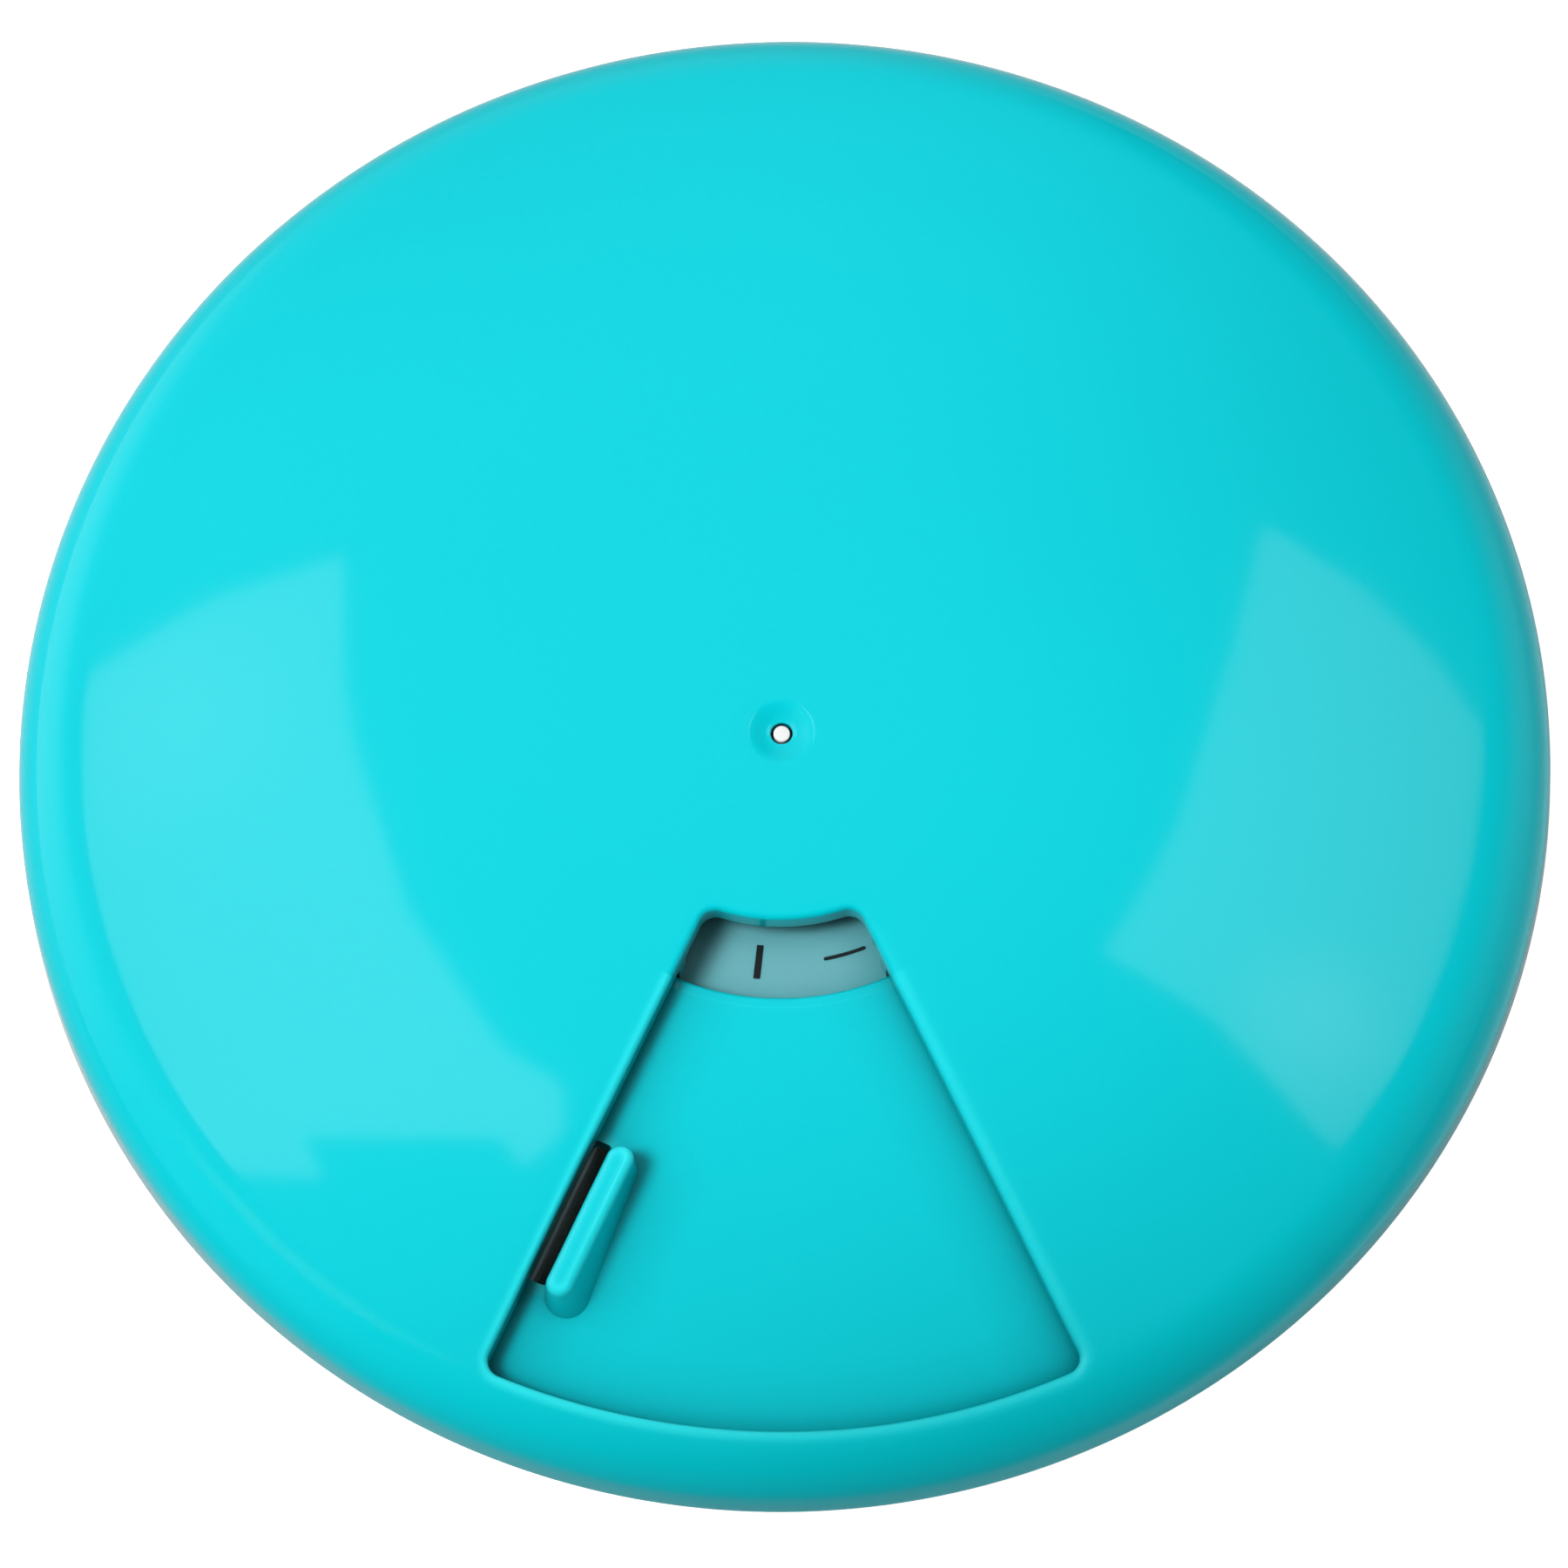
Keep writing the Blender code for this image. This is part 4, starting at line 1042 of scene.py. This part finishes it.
def pocketMesh():
    # One compartment: a fillet round its floor, walls that follow the bowl, and a rounded top edge.
    v = trayValues
    fillet = v["pocketFillet"]
    rings = []
    for out, up in edgeShares(v["filletSteps"]):
        level = trayFloor + fillet * up
        rings.append(levelPoints(pocketOutline(level, fillet * out), level))
    for level in spaced(trayFloor + fillet, shoulder, v["wallSteps"])[1:]:
        rings.append(levelPoints(pocketOutline(level, 0), level))
    return openEdge(
        rings, lambda spread: pocketOutline(shoulder, -spread), trayDrop, v["edgeRound"], v["edgeSteps"])


def makeTray():
    pocket = newObject("working", pocketMesh())
    made = grown(trayBody(), cutRound, {
        "Cutter": pocket, "Count": organizer["compartments"], "Material": milky})
    bpy.data.objects.remove(pocket)
    finishPiece("compartment_tray", made, "base", "milky_plastic", milky, "tray")


numberRingValues = {
    "edge": 0.3, "holeGap": 0.6, "lipLength": 2.4, "lipWidth": 0.6, "aroundSteps": 168,
    "hookRadius": 0.7, "hookPlace": 8.36, "hookAway": 1.175, "hookSteps": 24,
    "springHeight": 2.6, "springNib": 5.395, "springBow": 2.6, "springHalfSpan": 9.5,
    "printRadius": 13.3, "printTurn": math.radians(-6.4), "printHeight": 2.1, "printBold": 0.02,
    "printRaised": 0.04, "dashTurn": math.radians(16.1), "dashLength": 2.4, "dashWidth": 0.21,
    "dashSteps": 8, "tipSteps": 4, "figureSteps": 6,
}
ringTop = crownHeight(shutterValues["inner"], shutterBaseDrop) - seatGap
ringBottom = crownHeight(cupRadius, trayDrop) + seatGap


def ringHooks():
    # Four short posts, two round each end of the click spring.
    v = numberRingValues
    made = []
    for side in (-1, 1):
        x = side * v["hookPlace"]
        bow = v["springBow"] / v["springHalfSpan"] ** 2
        away = Vector((-2 * bow * x, 1)).normalized() * v["hookAway"]
        for way in (-1, 1):
            place = Vector((x, v["springNib"] + bow * x * x)) + away * way
            hook = studMesh(
                v["hookRadius"], ringTop - v["edge"], ringBottom - v["springHeight"], v["hookSteps"],
                v["hookRadius"] / 3)
            made.append(placed(hook, (place.x, place.y, 0)))
    return made


def makeNumberRing():
    v = numberRingValues
    edge, ring = v["edge"], trayValues["ringRadius"]
    lipOuter = cupRadius - seatGap
    lipInner = lipOuter - v["lipWidth"]
    hole = coverValues["bossRadius"] + v["holeGap"]
    lipEnd = ringBottom - v["lipLength"]
    corners = [
        (hole, ringTop, edge), (ring, ringTop, edge), (ring, ringBottom, edge), (lipOuter, ringBottom, 0),
        (lipOuter, lipEnd, edge), (lipInner, lipEnd, edge), (lipInner, ringBottom, edge),
        (hole, ringBottom, edge)]
    made = combine(turnedMesh(softened(corners), v["aroundSteps"]), ringHooks(), "UNION")
    finishPiece("day_ring", made, "base", "grey_white_plastic", greyWhitePaintedShade, "number_ring")


def printedNumber(number):
    # A plain figure, centred on its own box and set upright from the window's side.
    v = numberRingValues
    curve = bpy.data.curves.new("figure", "FONT")
    curve.body = str(number)
    curve.resolution_u = v["figureSteps"]
    curve.extrude = v["printRaised"]
    curve.offset = v["printBold"]
    mesh = plainMesh(newObject("figure", curve))
    corners = np.array([v.co[:] for v in mesh.vertices])
    low, high = corners.min(0), corners.max(0)
    size = v["printHeight"] / (high[1] - low[1])
    middle = (low + high) / 2
    mesh.transform(Matrix.Diagonal((size, size, 1, 1)) @ Matrix.Translation((-middle[0], -middle[1], 0)))
    angle = v["printTurn"] + (number - 1) * sector
    place = polar(v["printRadius"], angle)
    mesh.transform(Matrix.Translation((place.x, place.y, ringTop)) @ Matrix.Rotation(angle, 4, "Z"))
    return mesh


def dashMesh():
    # A short bar with round ends that follows the ring.
    v = numberRingValues
    half, reach = v["dashWidth"] / 2, v["dashLength"] / 2 / v["printRadius"]
    outline = []
    for way in (1, -1):
        ends = spaced(-reach * way, reach * way, v["dashSteps"])
        outline += [polar(v["printRadius"] + half * way, angle) for angle in ends]
        tip = polar(v["printRadius"], ends[-1])
        out = tip.normalized() * way
        outline += roundEnd(tip, half, out, Vector((-out.y, out.x)), -out, v["tipSteps"])[1:-1]
    return loftMesh([levelPoints(outline, ringTop + v["printRaised"] * side) for side in (-1, 1)])


def makePrint():
    shape = bmesh.new()
    for number in range(1, organizer["compartments"] + 1):
        shape.from_mesh(printedNumber(number))
    finishPiece("printed_numbers", meshFrom(shape), "base", "grey_white_plastic", ink)
    dashes = grown(dashMesh(), roundAxis, {
        "Count": organizer["compartments"], "First Turn": numberRingValues["dashTurn"], "Material": ink})
    finishPiece("printed_dashes", dashes, "base", "grey_white_plastic", ink)


guideValues = {
    "rimWidth": 0.45, "edgeGap": 0.45, "edgeRound": 0.2, "overrun": 1.0, "aroundSteps": 252, "holeSteps": 48,
    "domeSteps": 14, "edgeSteps": 4,
}


def makeGuidePlate():
    v = guideValues
    soft = v["edgeRound"]
    outer = coverValues["skirtInner"] - v["edgeGap"]
    rimInner = outer - v["rimWidth"]
    rimDrop = coverWall + seatGap
    radii = spaced(guideInner, rimInner, v["domeSteps"])
    corners = domeCorners(radii, guideDrop, soft, (guideInner, rimInner))
    corners += [(r, shellHeight(r, rimDrop), soft / 2) for r in (rimInner, outer)]
    corners.append((outer, crownHeight(outer, guideBaseDrop), soft))
    corners += domeCorners(radii[::-1], guideBaseDrop, soft, (guideInner,))
    plate = turnedMesh(softened(corners), v["aroundSteps"])
    low = crownHeight(outer, guideBaseDrop) - v["overrun"]

    def opening(spread):
        return windowOutline(spread, guideInner - v["overrun"])

    cutters = [openEdge([levelPoints(opening(0), low)], opening, guideDrop, soft, v["edgeSteps"])]
    hole = coverValues["pegRadius"] + seatGap
    for angle in pegPlaces():
        cutter = studMesh(hole, crownTop, low, v["holeSteps"])
        cutters.append(placed(cutter, (0, -coverValues["pegPlace"], 0), angle))
    plate = combine(plate, cutters, "DIFFERENCE")
    finishPiece("guide_sheet", plate, "cover", "white_plastic", white, "guide_plate")


pinValues = {
    "radius": 1.5, "tipRadius": 0.5, "tipDepth": 0.06, "tipLength": 1.2,
    "headRadius": 4.6, "headHeight": 1.2, "headLift": 0.5, "edge": 0.3, "aroundSteps": 72,
}


def makePivotPin():
    # The tip shows as the white dot in the dimple, and the head lies in the tray's recess.
    v = pinValues
    top = crownTop - coverValues["dimpleDepth"] - v["tipDepth"]
    neck = top - v["tipLength"] - coverWall
    edge, head, headTop = v["edge"], v["headRadius"], v["headLift"] + v["headHeight"]
    corners = [
        (0, top, 0), (v["tipRadius"], top, v["tipDepth"]), (v["tipRadius"], neck, 0),
        (v["radius"], neck, edge), (v["radius"], headTop, edge / 2),
        (head, headTop, edge), (head, v["headLift"], edge), (0, v["headLift"], 0)]
    pin = turnedMesh(softened(corners), v["aroundSteps"], closed=False)
    finishPiece("pivot_pin_body", pin, "cover", "white_plastic", white, "pivot_pin")


makeTray()
makeNumberRing()
makePrint()
makeGuidePlate()
makePivotPin()


floorValues = {
    "size": 3000.0, "seen": 0.93, "seenGlow": 0.68, "bounce": 0.8, "bounceGlow": 0.42,
    "mirrored": 0.8, "mirroredFront": 0.08, "mirroredReach": 60.0,
    "roughness": 0.7, "grain": 180.0, "bumpStrength": 1.0, "bumpHeight": 0.02,
}


def makeFloor(values):
    # White board to the camera, and darker to what it lights, as a board far wider than its light is.
    shape = bmesh.new()
    bmesh.ops.create_grid(shape, x_segments=1, y_segments=1, size=values["size"] * millimetre)
    floor = newObject("floor", meshFrom(shape))
    board, tree, shader, place = newMaterial("floorBoard")
    along = addNode(tree, "ShaderNodeSeparateXYZ", {0: place})["Y"]
    front = remap(
        tree, along, -values["mirroredReach"] * millimetre, 0.0, values["mirroredFront"], values["mirrored"])
    rays = addNode(tree, "ShaderNodeLightPath")
    tone = mixTones(tree, rays["Is Glossy Ray"], (values["bounce"],) * 3 + (1,), front)
    tone = mixTones(tree, rays["Is Camera Ray"], tone, (values["seen"],) * 3 + (1,))
    lit = calculate(tree, "MULTIPLY", rays["Is Diffuse Ray"], values["bounceGlow"])
    glow = calculate(tree, "MULTIPLY_ADD", rays["Is Camera Ray"], values["seenGlow"], lit)
    grain = addNode(tree, "ShaderNodeTexNoise", {"Vector": place, "Scale": values["grain"]})["Fac"]
    feed(tree, shader, {
        "Base Color": tone, "Roughness": values["roughness"], "Normal": bumped(tree, grain, values),
        "Emission Color": (1, 1, 1, 1), "Emission Strength": glow})
    floor.data.materials.append(board)


makeFloor(floorValues)


# Each softbox hangs level over the organizer, and its outline is the shape that the dome mirrors.
softboxes = {
    "softboxLeft": {
        "outline": (
            (-229, 428), (-294, 411), (-327, 393), (-350, 378), (-353, 357), (-349, 284), (-337, 239),
            (-318, 191), (-296, 145), (-276, 118), (-230, 111), (-240, 131), (-149, 126), (-138, 111),
            (-120, 129), (-122, 150), (-149, 169), (-193, 239), (-220, 325), (-226, 361)),
        "radiance": 1.45, "spot": (-310, 350), "spotSize": 90.0, "spotGain": 0.25},
    "softboxRight": {
        "outline": (
            (201, 440), (248, 408), (280, 374), (301, 337), (300, 315), (293, 267), (278, 216), (258, 165),
            (226, 122), (203, 147), (171, 182), (137, 203), (122, 211), (137, 236), (156, 274), (172, 328),
            (184, 368)),
        "radiance": 1.15, "spot": (218, 184), "spotSize": 55.0, "spotGain": 0.6},
}
softboxHeight = 1000.0


def makeSoftbox(name, values):
    # A glowing sheet that the camera doesn't see, with a brighter place where its lamp stands.
    shape = bmesh.new()
    shape.faces.new(addRing(shape, [
        Vector((x, y, softboxHeight)) * millimetre for x, y in values["outline"]]))
    mesh = bpy.data.meshes.new(name)
    shape.to_mesh(mesh)
    shape.free()
    box = newObject(name, mesh)
    box.visible_camera = False
    sheet, tree, shader, place = newMaterial(name)
    tree.nodes.remove(shader)
    spot = Vector((*values["spot"], softboxHeight)) * millimetre
    off = addNode(tree, "ShaderNodeVectorMath", {0: place, 1: spot}, operation="DISTANCE")["Value"]
    level = values["radiance"]
    near = remap(
        tree, off, 0.0, values["spotSize"] * millimetre, level * (1 + values["spotGain"]), level,
        interpolation_type="SMOOTHSTEP")
    glow = addNode(tree, "ShaderNodeEmission", {"Strength": near})[0]
    feed(tree, tree.nodes["Material Output"], {"Surface": glow})
    mesh.materials.append(sheet)


for name, values in softboxes.items():
    makeSoftbox(name, values)


# A broad lamp near the organizer's left, out of every reflection.
keyLight = {
    "place": (-78.0, -18.0, 158.0), "aim": (-10.0, 5.0), "size": 108.0, "spread": math.radians(31),
    "power": 0.0308,
}


def makeKeyLight(values):
    data = bpy.data.lights.new("keyLight", "AREA")
    data.shape = "SQUARE"
    data.size = values["size"] * millimetre
    data.energy = values["power"]
    data.spread = values["spread"]
    light = newObject("keyLight", data)
    place = Vector(values["place"])
    aim = Vector((*values["aim"], crownTop)) - place
    light.location = place * millimetre
    light.rotation_euler = aim.to_track_quat("-Z", "Y").to_euler()
    light.visible_glossy = False
    light.visible_camera = False


makeKeyLight(keyLight)


# The room lights from both sides, and less from the front. What the dome mirrors of it changes
# from left to right and from front to back, as pairs of a direction's share and a level.
roomValues = {
    "even": 0.3, "sides": 0.7, "seen": 0.95,
    "litAlong": ((-1.0, 0.15), (-0.5, 0.6), (0.0, 1.0), (0.5, 1.0), (1.0, 0.6)),
    "mirroredAcross": (
        (-1.0, 1.3), (-0.75, 0.9), (-0.5, 0.3), (0.0, 0.22), (0.12, 0.14), (0.3, 0.02), (0.6, 0.07),
        (0.9, 0.45)),
    "mirroredAlong": ((-1.0, 0.0), (-0.2, 0.2), (0.05, 0.5), (0.3, 1.0), (0.8, 1.2), (1.0, 2.0)),
}


def levelRamp(tree, value, levels):
    # A value from -1 to 1 looked up in pairs of place and level; a ramp holds levels up to 1.
    most = max(level for _, level in levels)
    looked = addNode(tree, "ShaderNodeValToRGB", {0: remap(tree, value, -1.0, 1.0)})[0]
    stops = looked.node.color_ramp.elements
    while len(stops) < len(levels):
        stops.new(0.5)
    for stop, (at, level) in zip(stops, levels):
        stop.position = (at + 1) / 2
        stop.color = (level / most,) * 3 + (1,)
    return calculate(tree, "MULTIPLY", looked, most)


def makeRoom(values):
    world = bpy.data.worlds.new("studio")
    scene.world = world
    world.use_nodes = True
    tree = world.node_tree
    way = addNode(tree, "ShaderNodeSeparateXYZ", {0: addNode(tree, "ShaderNodeTexCoord")["Generated"]})
    square = calculate(tree, "MULTIPLY", way["X"], way["X"])
    level = calculate(tree, "MULTIPLY_ADD", square, values["sides"], values["even"])
    lit = calculate(tree, "MULTIPLY", level, levelRamp(tree, way["Y"], values["litAlong"]))
    across = levelRamp(tree, way["X"], values["mirroredAcross"])
    mirrored = calculate(tree, "MULTIPLY", across, levelRamp(tree, way["Y"], values["mirroredAlong"]))
    rays = addNode(tree, "ShaderNodeLightPath")
    strength = mixLevels(tree, rays["Is Glossy Ray"], lit, mirrored)
    strength = mixLevels(tree, rays["Is Camera Ray"], strength, values["seen"])
    feed(tree, tree.nodes["Background"], {"Strength": strength, "Color": (1, 1, 1, 1)})


makeRoom(roomValues)
scene.view_settings.view_transform = "Standard"
print("stage: light set")
